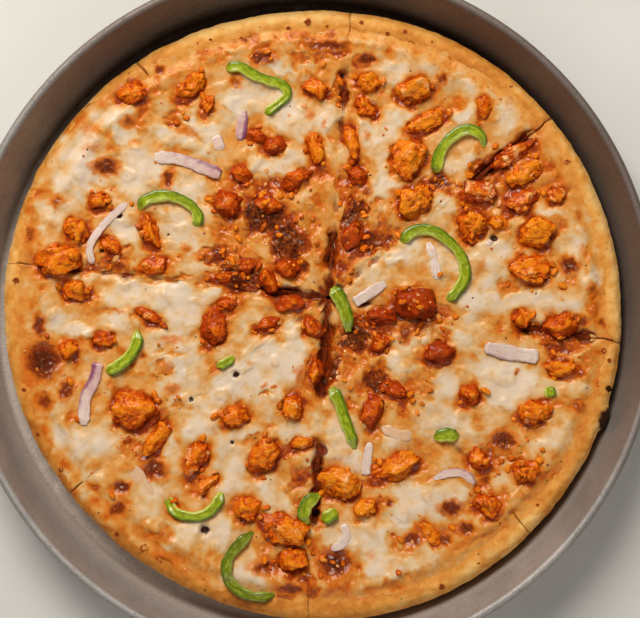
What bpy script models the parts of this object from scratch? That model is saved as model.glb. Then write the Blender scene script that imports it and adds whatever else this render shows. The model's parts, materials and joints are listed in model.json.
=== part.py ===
# Deep dish pizza in its round metal pan, cut into eight slices.
# Metres, +Z up. The origin is the middle of the pan's underside, and the slices are counted
# anticlockwise, seen from above, from the one at the far right.

import bisect
import math

import bmesh
import bpy
from mathutils import Matrix, Vector, noise
from mathutils.bvhtree import BVHTree

MM = 0.001
GAP = 0.3 * MM  # air between two pieces that touch

# Pan
PAN_RADIUS = 177.3 * MM  # outside of the rolled lip
PAN_HEIGHT = 38.0 * MM
PAN_FLOOR_RADIUS = 163.0 * MM  # inside, where the wall meets the floor
PAN_WALL = 1.8 * MM
PAN_FLOOR = 2.0 * MM
LIP_RADIUS = 2.3 * MM
FLOOR_BEND = 3.0 * MM
PAN_STEPS = 60

# Pizza outline and cuts
PIZZA_MIDDLE = Vector((3.9 * MM, -0.1 * MM))
PIZZA_RADIUS = 158.6 * MM
EDGE_WAVES = ((1, 0.8 * MM, 147.0), (2, 1.4 * MM, -23.0), (3, 1.1 * MM, 46.0), (5, 0.3 * MM, -13.0))
CROSSING = Vector((10.6 * MM, 8.5 * MM))  # where the cuts meet, a little off the middle
CUT_ANGLES = (-8.6, 38.8, 85.5, 129.0, 173.6, 216.9, 266.3, 310.7)
CUT_HALF_WIDTH = 0.5 * MM
SLICE_STEPS = 8  # facets round each slice

# Heights above the table, against the share of the way from the crossing to the edge
CRUST_BASE = PAN_FLOOR + GAP
DOUGH_UNDER_CHEESE = (
    (0.0, 11.0), (0.40, 11.0), (0.74, 11.5), (0.82, 13.2), (0.87, 16.2), (0.90, 18.2), (0.921, 19.3),
)
DOUGH_RIM = (
    (0.943, 20.2), (0.965, 20.4), (0.985, 19.0), (0.998, 15.0), (1.0, 10.0), (0.993, 5.0), (0.976, 2.3),
)
CHEESE_TOP = (
    (0.0, 16.2), (0.10, 16.6), (0.20, 16.9), (0.30, 17.0), (0.40, 17.0), (0.50, 17.0), (0.59, 17.1),
    (0.67, 17.3), (0.745, 17.9), (0.81, 18.9), (0.86, 20.2), (0.895, 21.1), (0.918, 21.0), (0.93, 20.3),
)
CHEESE_END = CHEESE_TOP[-1][0]
RELIEF = 1.1 * MM  # height of the cheese's humps
RELIEF_LENGTH = 24.0 * MM
CUT_SAG = 0.7 * MM  # how far the cheese sinks along a cut
CUT_SAG_WIDTH = 4.0 * MM
RIM_SWELL = 0.9 * MM
RIM_SWELL_FROM, RIM_SWELL_TO = 12.0, 18.0  # heights between which the rim begins to swell

# Toppings: middle x and y, length, width (mm) and turn (degrees)
CHUNK_HEIGHT = 0.52  # of the chunk's width
CHUNK_TALLEST = 8.5 * MM
CHUNK_SEAT = 0.35  # how much of the ball's lower half is pressed flat under the chunk
CHUNK_SQUARENESS = 0.72  # 1 is a round ball, less is a block with round corners
CHUNK_KNOBS = 1.6
BIG_CHUNKS = (
    (-128, 28, 23, 14, 0), (-89, -49, 24, 19, -15), (51, 81, 21, 17, 60), (61, 99, 23, 8, 22),
    (106, 83, 26, 7, 30), (112, 73, 20, 9, 28), (87, 63, 19, 11, 5), (109, 58, 18, 10, 20),
    (85, 46, 17, 14, 75), (118, 42, 17, 15, 0), (114, 24, 19, 13, -10), (130, -6, 17, 12, 0),
    (56, 6, 21, 16, -20), (-13, -110, 25, 14, -18), (16, -87, 22, 14, -20), (46, -79, 26, 11, 25),
    (-48, -6, 19, 12, 80), (55, 59, 19, 14, 45), (-22, -74, 19, 14, 50),
)
SMALL_CHUNKS = (
    (-59, 118, 18, 8, 50), (-52, 108, 9, 6, 70), (-90, 114, 15, 10, 20), (-108, 59, 9, 8, 0),
    (-119, 43, 13, 10, -60), (-101, 35, 12, 7, -60), (-81, 42, 17, 7, -70), (-79, 25, 16, 7, 15),
    (4, 117, 12, 9, -30), (-17, 87, 11, 8, 0), (-26, 92, 9, 5, -45), (-34, 73, 10, 7, -40),
    (-6, 70, 16, 8, 25), (4, 85, 17, 7, 100), (23, 89, 17, 7, 100), (-41, 57, 15, 12, -20),
    (-20, 57, 13, 9, -20), (-11, 24, 11, 8, -20), (-20, 17, 11, 7, -60), (-31, 25, 10, 7, -10),
    (-44, 19, 11, 5, 0), (-41, 5, 11, 6, -5), (-10, 6, 15, 7, 5), (31, 119, 12, 8, -20),
    (30, 107, 13, 7, -35), (54, 115, 16, 13, 30), (25, 71, 10, 8, 0), (23, 41, 15, 9, 70),
    (98, 48, 8, 7, 0), (110, -2, 9, 8, 90), (38, -1, 14, 8, 5), (68, -20, 15, 10, 25),
    (84, -41, 11, 10, 20), (117, -50, 17, 11, 10), (88, -75, 12, 9, -50), (112, -80, 13, 10, -20),
    (92, -98, 13, 10, -20), (131, -28, 18, 7, -5), (-119, 13, 14, 9, -15), (-123, -18, 9, 9, 0),
    (-105, -13, 10, 7, 10), (-81, -1, 16, 4, -22), (-78, -65, 19, 8, 57), (-57, -74, 19, 10, 60),
    (-38, -53, 15, 10, 10), (-7, -48, 12, 10, 80), (-2, -66, 13, 5, 15), (-31, -100, 13, 11, 0),
    (-8, -127, 14, 11, 20), (-21, -5, 15, 6, 25), (2, -7, 12, 8, -60), (4, -29, 14, 7, 90),
    (37, -15, 9, 7, 40), (33, -50, 17, 10, 80), (45, -39, 15, 7, -25), (30, -99, 13, 7, 32),
    (63, -113, 13, 5, -50), (-52, -87, 12, 6, 30), (127, 61, 8, 7, 0), (90, 106, 11, 5, 90),
)
CHUNK_MARGIN = 0.7 * MM  # between a small chunk and another topping
CHUNK_CUT_MARGIN = 0.15 * MM
CHUNK_SIZES = (1.0, 0.85, 0.7)  # tried in turn where a small chunk has little room
CHUNK_SUNK = 2.2 * MM  # how deep a small chunk sits in the cheese

# Vegetable strips: width, height (mm) and the middle line (mm)
PEPPERS = (
    (4.4, 3.6, ((-42, 126), (-35, 127), (-28, 123), (-20, 120), (-13, 118), (-11, 112), (-22, 103))),
    (5.0, 3.8, ((-87, 54), (-83, 59), (-73, 61), (-63, 58), (-57, 52), (-57, 45))),
    (5.0, 3.8, ((66, 73), (68, 83), (74, 91), (82, 95), (89, 92), (91, 86))),
    (5.4, 4.2, ((48, 37), (55, 43), (64, 43), (72, 38), (79, 30), (81, 20), (77, 12), (72, 7))),
    (6.0, 4.0, ((13, 14), (17, 7), (20, -1), (21, -9))),
    (5.8, 4.0, ((12, -38), (16, -45), (19, -54), (22, -62), (24, -69))),
    (5.4, 4.0, ((-88, -8), (-88, -15), (-92, -22), (-98, -27), (-104, -30))),
    (4.2, 3.2, ((-47, -27), (-42, -25), (-38, -22))),
    (4.6, 3.6, ((-73, -93), (-69, -101), (-61, -104), (-53, -103), (-47, -98), (-44, -91))),
    (5.4, 3.8, ((-28, -112), (-35, -118), (-41, -126), (-41, -135), (-35, -142), (-26, -145), (-17, -144))),
    (6.2, 4.6, ((6, -93), (0, -97), (-2, -103), (0, -108))),
    (5.8, 4.2, ((7, -105), (11, -104), (15, -101))),
    (6.0, 4.2, ((65, -64), (71, -62), (78, -63))),
    (5.2, 3.6, ((124, -37), (125, -43))),
)
ONIONS = (
    (5.8, 2.2, ((-79, 81), (-67, 80), (-55, 76), (-45, 72))),
    (3.6, 1.8, ((-111, 26), (-112, 35), (-106, 45), (-98, 53), (-93, 57))),
    (4.8, 2.0, ((-33, 105), (-34, 97), (-35, 90))),
    (4.6, 2.0, ((62, 37), (65, 28), (67, 18))),
    (5.2, 2.2, ((24, 6), (32, 11), (40, 16))),
    (5.4, 2.4, ((-107, -35), (-112, -42), (-115, -50), (-115, -57))),
    (6.8, 2.4, ((91, -17), (105, -20), (119, -22))),
    (4.0, 1.8, ((18, -108), (20, -113), (18, -118), (12, -121))),
    (4.0, 1.8, ((65, -85), (72, -82), (80, -82), (86, -87))),
    (4.0, 1.8, ((31, -67), (30, -72))),
)
STRIP_FACET = 6.0 * MM
STRIP_SIDES = 6
STRIP_END = 0.62  # size of a strip's ends, of its full section
STRIP_WAVER = 0.12  # how much a strip's width changes along it
STRIP_WAVE = 2.1
REST_SPREAD = 1.6 * MM  # a topping rests on the highest point this near
SETTLE_STEP = 0.05 * MM


def new_collection(name):
    made = bpy.data.collections.new(name)
    bpy.context.scene.collection.children.link(made)
    return made


def new_material(name, colour, roughness, metallic=0.0):
    made = bpy.data.materials.new(name)
    made.use_nodes = True
    shader = made.node_tree.nodes["Principled BSDF"]
    shader.inputs["Base Color"].default_value = (*colour, 1.0)
    shader.inputs["Roughness"].default_value = roughness
    shader.inputs["Metallic"].default_value = metallic
    return made


def new_object(name, bm, material, collection, sharp=40.0):
    mesh = bpy.data.meshes.new(name)
    bmesh.ops.recalc_face_normals(bm, faces=bm.faces)
    if bm.calc_volume(signed=True) < 0.0:
        bmesh.ops.reverse_faces(bm, faces=bm.faces)
    bm.to_mesh(mesh)
    bm.free()
    mesh.materials.append(material)
    mesh.shade_smooth()
    mesh.set_sharp_from_angle(angle=math.radians(sharp))
    made = bpy.data.objects.new(name, mesh)
    collection.objects.link(made)
    return made


def ramp(stops, x):
    """Straight lines between stops of (x, value)."""
    i = min(max(bisect.bisect_right([s[0] for s in stops], x), 1), len(stops) - 1)
    (x0, y0), (x1, y1) = stops[i - 1], stops[i]
    return y0 + (y1 - y0) * min(max((x - x0) / (x1 - x0), 0.0), 1.0)


def direction(angle):
    return Vector((math.cos(angle), math.sin(angle)))


# The pizza's outline and surface


def edge_radius(angle):
    """Radius of the crust from the pizza's middle, a circle with a few low waves."""
    waves = sum(size * math.cos(order * (angle - math.radians(turn))) for order, size, turn in EDGE_WAVES)
    return PIZZA_RADIUS + waves


def reach(start, angle):
    """How far the crust's edge lies from a point inside it, in one direction."""
    ray = direction(angle)
    distance = PIZZA_RADIUS
    for _ in range(6):
        spot = start + ray * distance - PIZZA_MIDDLE
        distance += edge_radius(math.atan2(spot.y, spot.x)) - spot.length
    return distance


def cut_distance(spot):
    """Distance from the nearest cut."""
    away = spot - CROSSING
    near = []
    for cut in CUT_ANGLES:
        ray = direction(math.radians(cut))
        if away.dot(ray) > 0.0:
            near.append(abs(ray.x * away.y - ray.y * away.x))
    return min(near, default=away.length)


def relief(spot):
    """Soft humps of melted cheese over what lies in it."""
    wave = Vector((spot.x, spot.y, 0.0)) / RELIEF_LENGTH
    return RELIEF * noise.noise(wave) + 0.4 * RELIEF * noise.noise(wave * 2.3 + Vector((7.0, 3.0, 0.0)))


def cheese_height(share, spot):
    """Top of the cheese at a point that lies at a share of the way to the edge."""
    calm = min(1.0, 0.2 + (CHEESE_END - share) / 0.08)
    sag = CUT_SAG * max(0.0, 1.0 - cut_distance(spot) / CUT_SAG_WIDTH)
    return ramp(CHEESE_TOP, share) * MM + relief(spot) * calm - sag * min(1.0, (CHEESE_END - share) / 0.05)


def rim_swell(angle):
    return RIM_SWELL * noise.noise(Vector((math.cos(angle), math.sin(angle), 0.0)) * 3.1)


# Building blocks


def wedge(first, last, profile, place):
    """Turns a profile of (share, height) through one slice and places every point of it."""
    bm = bmesh.new()
    ring = [bm.verts.new((share, 0.0, height)) for share, height in profile]
    edges = [bm.edges.new(pair) for pair in zip(ring, ring[1:])]
    bmesh.ops.spin(
        bm, geom=ring + edges, cent=(0, 0, 0), axis=(0, 0, 1), angle=last - first, steps=SLICE_STEPS
    )
    bmesh.ops.remove_doubles(bm, verts=bm.verts, dist=1e-6)
    bm.edges.new([v for v in bm.verts if v.co.xy.length < 1e-6])
    bmesh.ops.holes_fill(bm, edges=[e for e in bm.edges if len(e.link_faces) < 2], sides=0)
    bmesh.ops.triangulate(bm, faces=[f for f in bm.faces if len(f.verts) > 4], ngon_method="EAR_CLIP")
    half = (last - first) / 2.0
    tip = CROSSING + direction(first + half) * (CUT_HALF_WIDTH / math.sin(half))
    for v in bm.verts:
        share = v.co.xy.length
        angle = first + (math.atan2(v.co.y, v.co.x) if share > 1e-6 else half)
        spot = tip + direction(angle) * (share * reach(tip, angle))
        v.co = Vector((spot.x, spot.y, place(share, v.co.z, angle, spot)))
    return bm


def slice_angles():
    turned = CUT_ANGLES[1:] + (CUT_ANGLES[0] + 360.0,)
    return [(math.radians(a), math.radians(b)) for a, b in zip(CUT_ANGLES, turned)]


def height_under(ground, x, y, spread=REST_SPREAD):
    """Highest ground round a point, so that what is laid there doesn't sink into a fold."""
    found = []
    for dx in (-spread, 0.0, spread):
        for dy in (-spread, 0.0, spread):
            hit = ground.ray_cast(Vector((x + dx, y + dy, PAN_HEIGHT)), Vector((0, 0, -1)))
            if hit[0] is not None:
                found.append(hit[0].z)
    return max(found) + GAP


def settle(bm, ground):
    """Raises a topping until it clears the cheese and dough below it."""
    while BVHTree.FromBMesh(bm, epsilon=0.5 * GAP).overlap(ground):
        bmesh.ops.translate(bm, vec=(0, 0, SETTLE_STEP), verts=bm.verts)


def lump(x, y, length, width, turn, roughness, detail):
    """A torn piece of meat as a rough ball, with its lower side at -1 and its top at 1."""
    bm = bmesh.new()
    bmesh.ops.create_icosphere(bm, subdivisions=detail, radius=1.0)
    shift = Vector((x, y, turn)) / MM
    for v in bm.verts:
        squared = Vector([math.copysign(abs(c) ** CHUNK_SQUARENESS, c) for c in v.co])
        swell = 1.0 + roughness * noise.noise(v.co * CHUNK_KNOBS + shift * 0.37)
        v.co = Vector((squared.x * length / 2.0 * swell, squared.y * width / 2.0 * swell, v.co.z))
    bmesh.ops.rotate(bm, matrix=Matrix.Rotation(math.radians(turn), 3, "Z"), verts=bm.verts)
    bmesh.ops.translate(bm, vec=(x, y, 0), verts=bm.verts)
    return bm


def smooth_route(points, facet):
    """Points a facet apart on a smooth line through a strip's own points."""
    line = [Vector(p) * MM for p in points]
    line = [2 * line[0] - line[1], *line, 2 * line[-1] - line[-2]]
    dense = []
    for a, b, c, d in zip(line, line[1:], line[2:], line[3:]):
        for t in (i / 10.0 for i in range(10)):
            bend = (2 * a - 5 * b + 4 * c - d) * t**2 + (3 * b - a - 3 * c + d) * t**3
            dense.append(b + ((c - a) * t + bend) / 2.0)
    dense.append(line[-2])
    far = [0.0]
    for p, q in zip(dense, dense[1:]):
        far.append(far[-1] + (q - p).length)
    count = max(3, round(far[-1] / facet))
    stops = [(distance, point) for distance, point in zip(far, dense)]
    return [
        Vector((ramp([(d, p.x) for d, p in stops], s), ramp([(d, p.y) for d, p in stops], s)))
        for s in (far[-1] * i / count for i in range(count + 1))
    ]


def strip(width, height, points, ground):
    """A bar of six sides, bent along its route and laid on the ground below it."""
    route = smooth_route(points, STRIP_FACET)
    bm = bmesh.new()
    bmesh.ops.create_cone(bm, cap_ends=True, segments=STRIP_SIDES, radius1=1.0, radius2=1.0, depth=2.0)
    top_of_section = max(v.co.y for v in bm.verts)
    long_edges = [e for e in bm.edges if abs(e.verts[0].co.z - e.verts[1].co.z) > 1.0]
    bmesh.ops.subdivide_edges(bm, edges=long_edges, cuts=len(route) - 2, use_grid_fill=True)
    for v in bm.verts:
        i = round((v.co.z + 1.0) / 2.0 * (len(route) - 1))
        ahead = route[min(i + 1, len(route) - 1)] - route[max(i - 1, 0)]
        side = Vector((-ahead.y, ahead.x)).normalized()
        end = STRIP_END if i in (0, len(route) - 1) else 1.0
        waver = 1.0 + STRIP_WAVER * math.sin(STRIP_WAVE * i + width)
        spot = route[i] + side * (v.co.x * width / 2.0 * MM * end * waver)
        up = (v.co.y / top_of_section + 1.0) / 2.0
        v.co = Vector((spot.x, spot.y, height_under(ground, spot.x, spot.y) + up * height * MM * end))
    settle(bm, ground)
    return bm


def footprint(x, y, length, width, turn):
    """Circles that cover a piece seen from above."""
    spare = max(0.0, (length - width) / 2.0)
    along = direction(math.radians(turn)) * spare * MM
    middle = Vector((x, y)) * MM
    return [(middle + along * k, width / 2.0 * MM) for k in (-1.0, -0.5, 0.0, 0.5, 1.0)]


# The pieces


def make_pan(collection):
    lean = (PAN_RADIUS - 2.0 * LIP_RADIUS - PAN_FLOOR_RADIUS) / (PAN_HEIGHT - PAN_FLOOR)
    lip_x = PAN_RADIUS - LIP_RADIUS
    lip_z = PAN_HEIGHT - LIP_RADIUS
    profile = [(0.0, PAN_FLOOR)]
    for k in range(3):
        a = math.radians(90.0 * k / 2.0)
        out = PAN_FLOOR_RADIUS + FLOOR_BEND * (math.sin(a) - 1.0)
        profile.append((out, PAN_FLOOR + FLOOR_BEND * (1.0 - math.cos(a))))
    profile.append((lip_x - LIP_RADIUS - lean * LIP_RADIUS, lip_z))
    for k in range(1, 8):
        a = math.radians(180.0 - 35.0 * k)
        profile.append((lip_x + LIP_RADIUS * math.cos(a), lip_z + LIP_RADIUS * math.sin(a)))
    outside = PAN_FLOOR_RADIUS + PAN_WALL
    profile.append((outside + lean * (lip_z - 2.0 * LIP_RADIUS), lip_z - LIP_RADIUS))
    profile.append((outside, FLOOR_BEND))
    profile.append((outside - 0.8 * FLOOR_BEND, 0.0))
    profile.append((0.0, 0.0))
    mesh = bpy.data.meshes.new("pan")
    mesh.from_pydata([(x, 0.0, z) for x, z in profile], [(i, i + 1) for i in range(len(profile) - 1)], [])
    pan = bpy.data.objects.new("pan", mesh)
    collection.objects.link(pan)
    turned = pan.modifiers.new("turned", "SCREW")
    turned.steps = PAN_STEPS
    turned.render_steps = PAN_STEPS
    turned.use_merge_vertices = True
    turned.merge_threshold = 1e-6
    turned.use_smooth_shade = True
    closed = pan.modifiers.new("closed", "WELD")
    closed.merge_threshold = 1e-6
    mesh.materials.append(new_material("worn grey metal", (0.33, 0.30, 0.28), 0.42, 0.9))
    return pan


def make_crusts(collection):
    material = new_material("baked dough", (0.70, 0.44, 0.20), 0.75)
    profile = DOUGH_UNDER_CHEESE + DOUGH_RIM + ((0.0, CRUST_BASE / MM),)

    def place(share, height, angle, spot):
        risen = ramp(((RIM_SWELL_FROM, 0.0), (RIM_SWELL_TO, 1.0)), height) if share > CHEESE_END else 0.0
        return height * MM + rim_swell(angle) * risen

    made = []
    for i, (first, last) in enumerate(slice_angles(), 1):
        made.append(new_object(f"crust_{i}", wedge(first, last, profile, place), material, collection))
    return made


def make_cheeses(collection):
    material = new_material("melted cheese", (0.85, 0.55, 0.18), 0.45)
    below = [(share, height + GAP / MM) for share, height in reversed(DOUGH_UNDER_CHEESE)]
    profile = list(CHEESE_TOP) + below

    def place(share, height, angle, spot):
        is_top = height > ramp(DOUGH_UNDER_CHEESE, share) + 1.5 * GAP / MM
        return cheese_height(share, spot) if is_top else height * MM

    made = []
    for i, (first, last) in enumerate(slice_angles(), 1):
        made.append(new_object(f"cheese_{i}", wedge(first, last, profile, place), material, collection))
    return made


def ground_of(objects):
    """One tree of the surfaces that the toppings lie on."""
    bm = bmesh.new()
    for each in objects:
        bm.from_mesh(each.data)
    tree = BVHTree.FromBMesh(bm, epsilon=0.0)
    bm.free()
    return tree


def make_strips(name, rows, material, ground, collection):
    taken = []
    for i, (width, height, points) in enumerate(rows, 1):
        new_object(f"{name}_{i:02d}", strip(width, height, points, ground), material, collection)
        taken += [(spot, width / 2.0 * MM) for spot in smooth_route(points, 3.0 * MM)]
    return taken


def make_big_chunks(material, ground, collection):
    taken = []
    for i, (x, y, length, width, turn) in enumerate(BIG_CHUNKS, 1):
        bm = lump(x * MM, y * MM, length * MM, width * MM, turn, 0.30, 2)
        height = min(CHUNK_TALLEST, CHUNK_HEIGHT * width * MM)
        for v in bm.verts:
            up = max(0.0, (v.co.z + CHUNK_SEAT) / (1.0 + CHUNK_SEAT))
            v.co.z = height_under(ground, v.co.x, v.co.y) + up * height
        settle(bm, ground)
        new_object(f"chicken_{i:02d}", bm, material, collection)
        taken += footprint(x, y, length, width, turn)
    return taken


def slice_at(spot):
    """Number of the slice that holds a point, from 0."""
    away = spot - CROSSING
    turn = (math.degrees(math.atan2(away.y, away.x)) - CUT_ANGLES[0]) % 360.0
    return sum(turn >= angle - CUT_ANGLES[0] for angle in CUT_ANGLES) - 1


def is_free(circles, taken, owner):
    """Whether a small piece stays in its own slice and off every other topping."""
    for spot, radius in circles:
        if slice_at(spot) != owner or cut_distance(spot) < radius + CUT_HALF_WIDTH + CHUNK_CUT_MARGIN:
            return False
        for other, size in taken:
            if (spot - other).length < radius + size + CHUNK_MARGIN:
                return False
    return True


def add_small_chunks(cheeses, taken, material, ground):
    """Joins the small pieces of meat to the cheese that they are baked into."""
    groups = [new_collection(f"bits_{i}") for i in range(1, len(cheeses) + 1)]
    for k, (x, y, length, width, turn) in enumerate(SMALL_CHUNKS):
        middle = Vector((x, y)) * MM
        owner = slice_at(middle)
        for size in CHUNK_SIZES:
            circles = footprint(x, y, length * size, width * size, turn)
            if is_free(circles, taken, owner):
                break
        else:
            continue
        taken += circles
        bm = lump(middle.x, middle.y, length * size * MM, width * size * MM, turn, 0.2, 1)
        away = middle - CROSSING
        share = away.length / reach(CROSSING, math.atan2(away.y, away.x))
        top = height_under(ground, middle.x, middle.y, 0.0) - GAP
        depth = top - ramp(DOUGH_UNDER_CHEESE, share) * MM - GAP
        above, below = width / 2.0 * size * MM, min(CHUNK_SUNK, depth / 2.0)
        for v in bm.verts:
            v.co.z = top + v.co.z * (above if v.co.z > 0.0 else below)
        new_object(f"bit_{k}", bm, material, groups[owner])
    for cheese, group in zip(cheeses, groups):
        if group.objects:
            join = cheese.modifiers.new("baked in", "BOOLEAN")
            join.operation = "UNION"
            join.operand_type = "COLLECTION"
            join.collection = group
            join.solver = "MANIFOLD"
            joined = cheese.evaluated_get(bpy.context.evaluated_depsgraph_get())
            solid = bpy.data.meshes.new_from_object(joined)
            cheese.modifiers.remove(join)
            cheese.data = solid
            cheese.data.name = cheese.name
        for piece in list(group.objects):
            bpy.data.objects.remove(piece)
        bpy.data.collections.remove(group)


def main():
    for old in list(bpy.data.objects):
        bpy.data.objects.remove(old)
    pizza = new_collection("deep_dish_pizza")
    make_pan(pizza)
    crusts = make_crusts(pizza)
    cheeses = make_cheeses(pizza)
    ground = ground_of(crusts + cheeses)
    chicken = new_material("seasoned chicken", (0.80, 0.30, 0.06), 0.6)
    pepper = new_material("green pepper", (0.18, 0.32, 0.03), 0.35)
    onion = new_material("red onion", (0.62, 0.42, 0.45), 0.35)
    taken = make_strips("pepper", PEPPERS, pepper, ground, pizza)
    taken += make_strips("onion", ONIONS, onion, ground, pizza)
    taken += make_big_chunks(chicken, ground, pizza)
    add_small_chunks(cheeses, taken, chicken, ground)


main()
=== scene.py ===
import json
import math
import random

import bpy
import numpy as np
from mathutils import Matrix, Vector, noise
from mathutils.bvhtree import BVHTree

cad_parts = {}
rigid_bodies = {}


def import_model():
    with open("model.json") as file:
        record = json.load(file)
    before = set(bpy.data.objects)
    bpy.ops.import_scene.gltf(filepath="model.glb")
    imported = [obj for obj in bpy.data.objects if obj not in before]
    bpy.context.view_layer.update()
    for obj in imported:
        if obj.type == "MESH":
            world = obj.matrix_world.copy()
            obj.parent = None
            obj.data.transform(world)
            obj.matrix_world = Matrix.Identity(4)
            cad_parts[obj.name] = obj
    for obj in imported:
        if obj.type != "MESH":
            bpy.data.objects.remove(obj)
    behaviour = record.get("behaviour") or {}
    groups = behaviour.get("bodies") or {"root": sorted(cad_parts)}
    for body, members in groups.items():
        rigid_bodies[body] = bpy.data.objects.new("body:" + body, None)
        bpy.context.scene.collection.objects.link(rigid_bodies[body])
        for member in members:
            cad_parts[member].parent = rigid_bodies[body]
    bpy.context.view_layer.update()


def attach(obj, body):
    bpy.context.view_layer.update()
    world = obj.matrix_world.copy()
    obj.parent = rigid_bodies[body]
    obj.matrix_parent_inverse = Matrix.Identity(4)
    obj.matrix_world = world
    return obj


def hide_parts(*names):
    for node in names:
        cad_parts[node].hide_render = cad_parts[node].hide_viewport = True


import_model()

mm = 0.001


# Shader maths: a wire is one output of a shader node
class Wire:
    def __init__(self, tree, socket=None):
        self.tree = tree
        self.socket = socket

    def node(self, kind, settings=None, links=None, out=0):
        made = self.tree.nodes.new("ShaderNode" + kind)
        for name, value in (settings or {}).items():
            if name == "stops":
                for i, (place, colour) in enumerate(value):
                    stop = made.color_ramp.elements[i] if i < 2 else made.color_ramp.elements.new(place)
                    stop.position = place
                    stop.color = colour
            else:
                setattr(made, name, value)
        for name, value in (links or {}).items():
            if isinstance(value, Wire):
                self.tree.links.new(value.socket, made.inputs[name])
            else:
                made.inputs[name].default_value = value
        return Wire(self.tree, made.outputs[out]) if made.outputs else None

    def math(self, operation, first, second):
        return self.node("Math", {"operation": operation}, {0: first, 1: second})

    def __add__(self, other):
        return self.math("ADD", self, other)

    def __radd__(self, other):
        return self.math("ADD", other, self)

    def __sub__(self, other):
        return self.math("SUBTRACT", self, other)

    def __rsub__(self, other):
        return self.math("SUBTRACT", other, self)

    def __mul__(self, other):
        return self.math("MULTIPLY", self, other)

    def __rmul__(self, other):
        return self.math("MULTIPLY", other, self)

    def rise(self, low, high):  # 0 below low, 1 above high, with a soft step between them
        ends = {"Value": self, "From Min": low, "From Max": high}
        return self.node("MapRange", {"interpolation_type": "SMOOTHSTEP"}, ends)

    def blend(self, under, over, mode="MIX"):  # colour: under where the wire is 0, over where it is 1
        return self.node("Mix", {"data_type": "RGBA", "blend_type": mode}, {0: self, 6: under, 7: over}, 2)

    def clouds(self, size, detail=3.0, rough=0.5, warp=0.0):  # noise with lumps of one size, in mm
        links = {"Vector": self, "Scale": 1.0 / size, "Detail": detail}
        return self.node("TexNoise", {}, {**links, "Roughness": rough, "Distortion": warp})

    def cells(self, size):  # distance to the nearest of scattered points
        return self.node("TexVoronoi", {}, {"Vector": self, "Scale": 1.0 / size})

    def stretch(self, x, y, z):
        return self.node("VectorMath", {"operation": "MULTIPLY"}, {0: self, 1: (x, y, z)})

    def read(self, name):  # a number kept on the mesh's points
        return self.node("Attribute", {"attribute_name": name}, {}, 2)

    def bump(self, height, distance):  # distance in mm
        return {"Normal": self.node("Bump", {}, {"Distance": distance * mm, "Height": height})}


def newMaterial(name, *marks):
    # a material, the object's own place in mm, and the numbers that the mesh's points carry
    made = bpy.data.materials.new(name)
    made.use_nodes = True
    made.node_tree.nodes.clear()
    start = Wire(made.node_tree)
    place = start.node("TexCoord", {}, {}, 3).stretch(1000.0, 1000.0, 1000.0)
    return made, place, *(start.read(mark) for mark in marks)


def layered(colour, *layers):  # each layer: how much of it there is, and its colour
    for much, over in layers:
        colour = much.blend(colour, over)
    return colour


def setSurface(place, colour, rough, *more):
    links = {"Base Color": colour, "Roughness": rough}
    for settings in more:
        links.update(settings)
    shader = place.node("BsdfPrincipled", {}, links)
    place.node("OutputMaterial", {}, {"Surface": shader})


def softLight(weight, radius, scale):  # light that passes through, to a depth in mm
    return {"Subsurface Weight": weight, "Subsurface Radius": radius, "Subsurface Scale": scale * mm}


def coated(weight, rough):
    return {"Coat Weight": weight, "Coat Roughness": rough}


warmShine = {"Specular IOR Level": 0.2, "Specular Tint": (1.0, 0.85, 0.62, 1.0)}


def tint(red, green, blue):  # screen colour, 0 to 255
    linear = []
    for part in (red / 255.0, green / 255.0, blue / 255.0):
        linear.append(part / 12.92 if part <= 0.04045 else ((part + 0.055) / 1.055) ** 2.4)
    return (*linear, 1.0)


# Mesh tools: places are in mm until the mesh is made
def noiseAt(spots, size, seed=0.0):
    grid = (spots / size + seed).tolist()
    return np.fromiter((noise.noise(p) for p in grid), float, len(grid))


def turned(xy, angle):
    c, s = math.cos(angle), math.sin(angle)
    return np.column_stack((xy[:, 0] * c - xy[:, 1] * s, xy[:, 0] * s + xy[:, 1] * c))


def flat(xy, seed=0.0):
    return np.column_stack((xy, np.full(len(xy), seed)))


def flatNoise(xy, seed, size):
    return noiseAt(flat(xy, seed), size)


def soften(x, low, high):
    t = np.clip((x - low) / (high - low), 0.0, 1.0)
    return t * t * (3.0 - 2.0 * t)


def direction(angle):
    return np.stack((np.cos(angle), np.sin(angle)), axis=-1)


def newPiece(name, points, faces, material, values=None, node=None):
    mesh = bpy.data.meshes.new(name)
    mesh.from_pydata((np.asarray(points) * mm).tolist(), [], faces)
    mesh.validate()
    mesh.shade_smooth()
    for key, numbers in (values or {}).items():
        layer = mesh.attributes.new(key, "FLOAT", "POINT")
        layer.data.foreach_set("value", np.asarray(numbers, dtype=np.float32))
    mesh.materials.append(material)
    piece = bpy.data.objects.new(name, mesh)
    bpy.context.scene.collection.objects.link(piece)
    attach(piece, "root")
    if node:
        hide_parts(node)
    return piece


def gridFaces(rows, columns, start=0):
    first = np.arange(rows - 1)[:, None] * columns + np.arange(columns - 1)[None, :] + start
    quads = np.stack((first, first + columns, first + columns + 1, first + 1), axis=-1)
    return quads.reshape(-1, 4).tolist()


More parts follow.
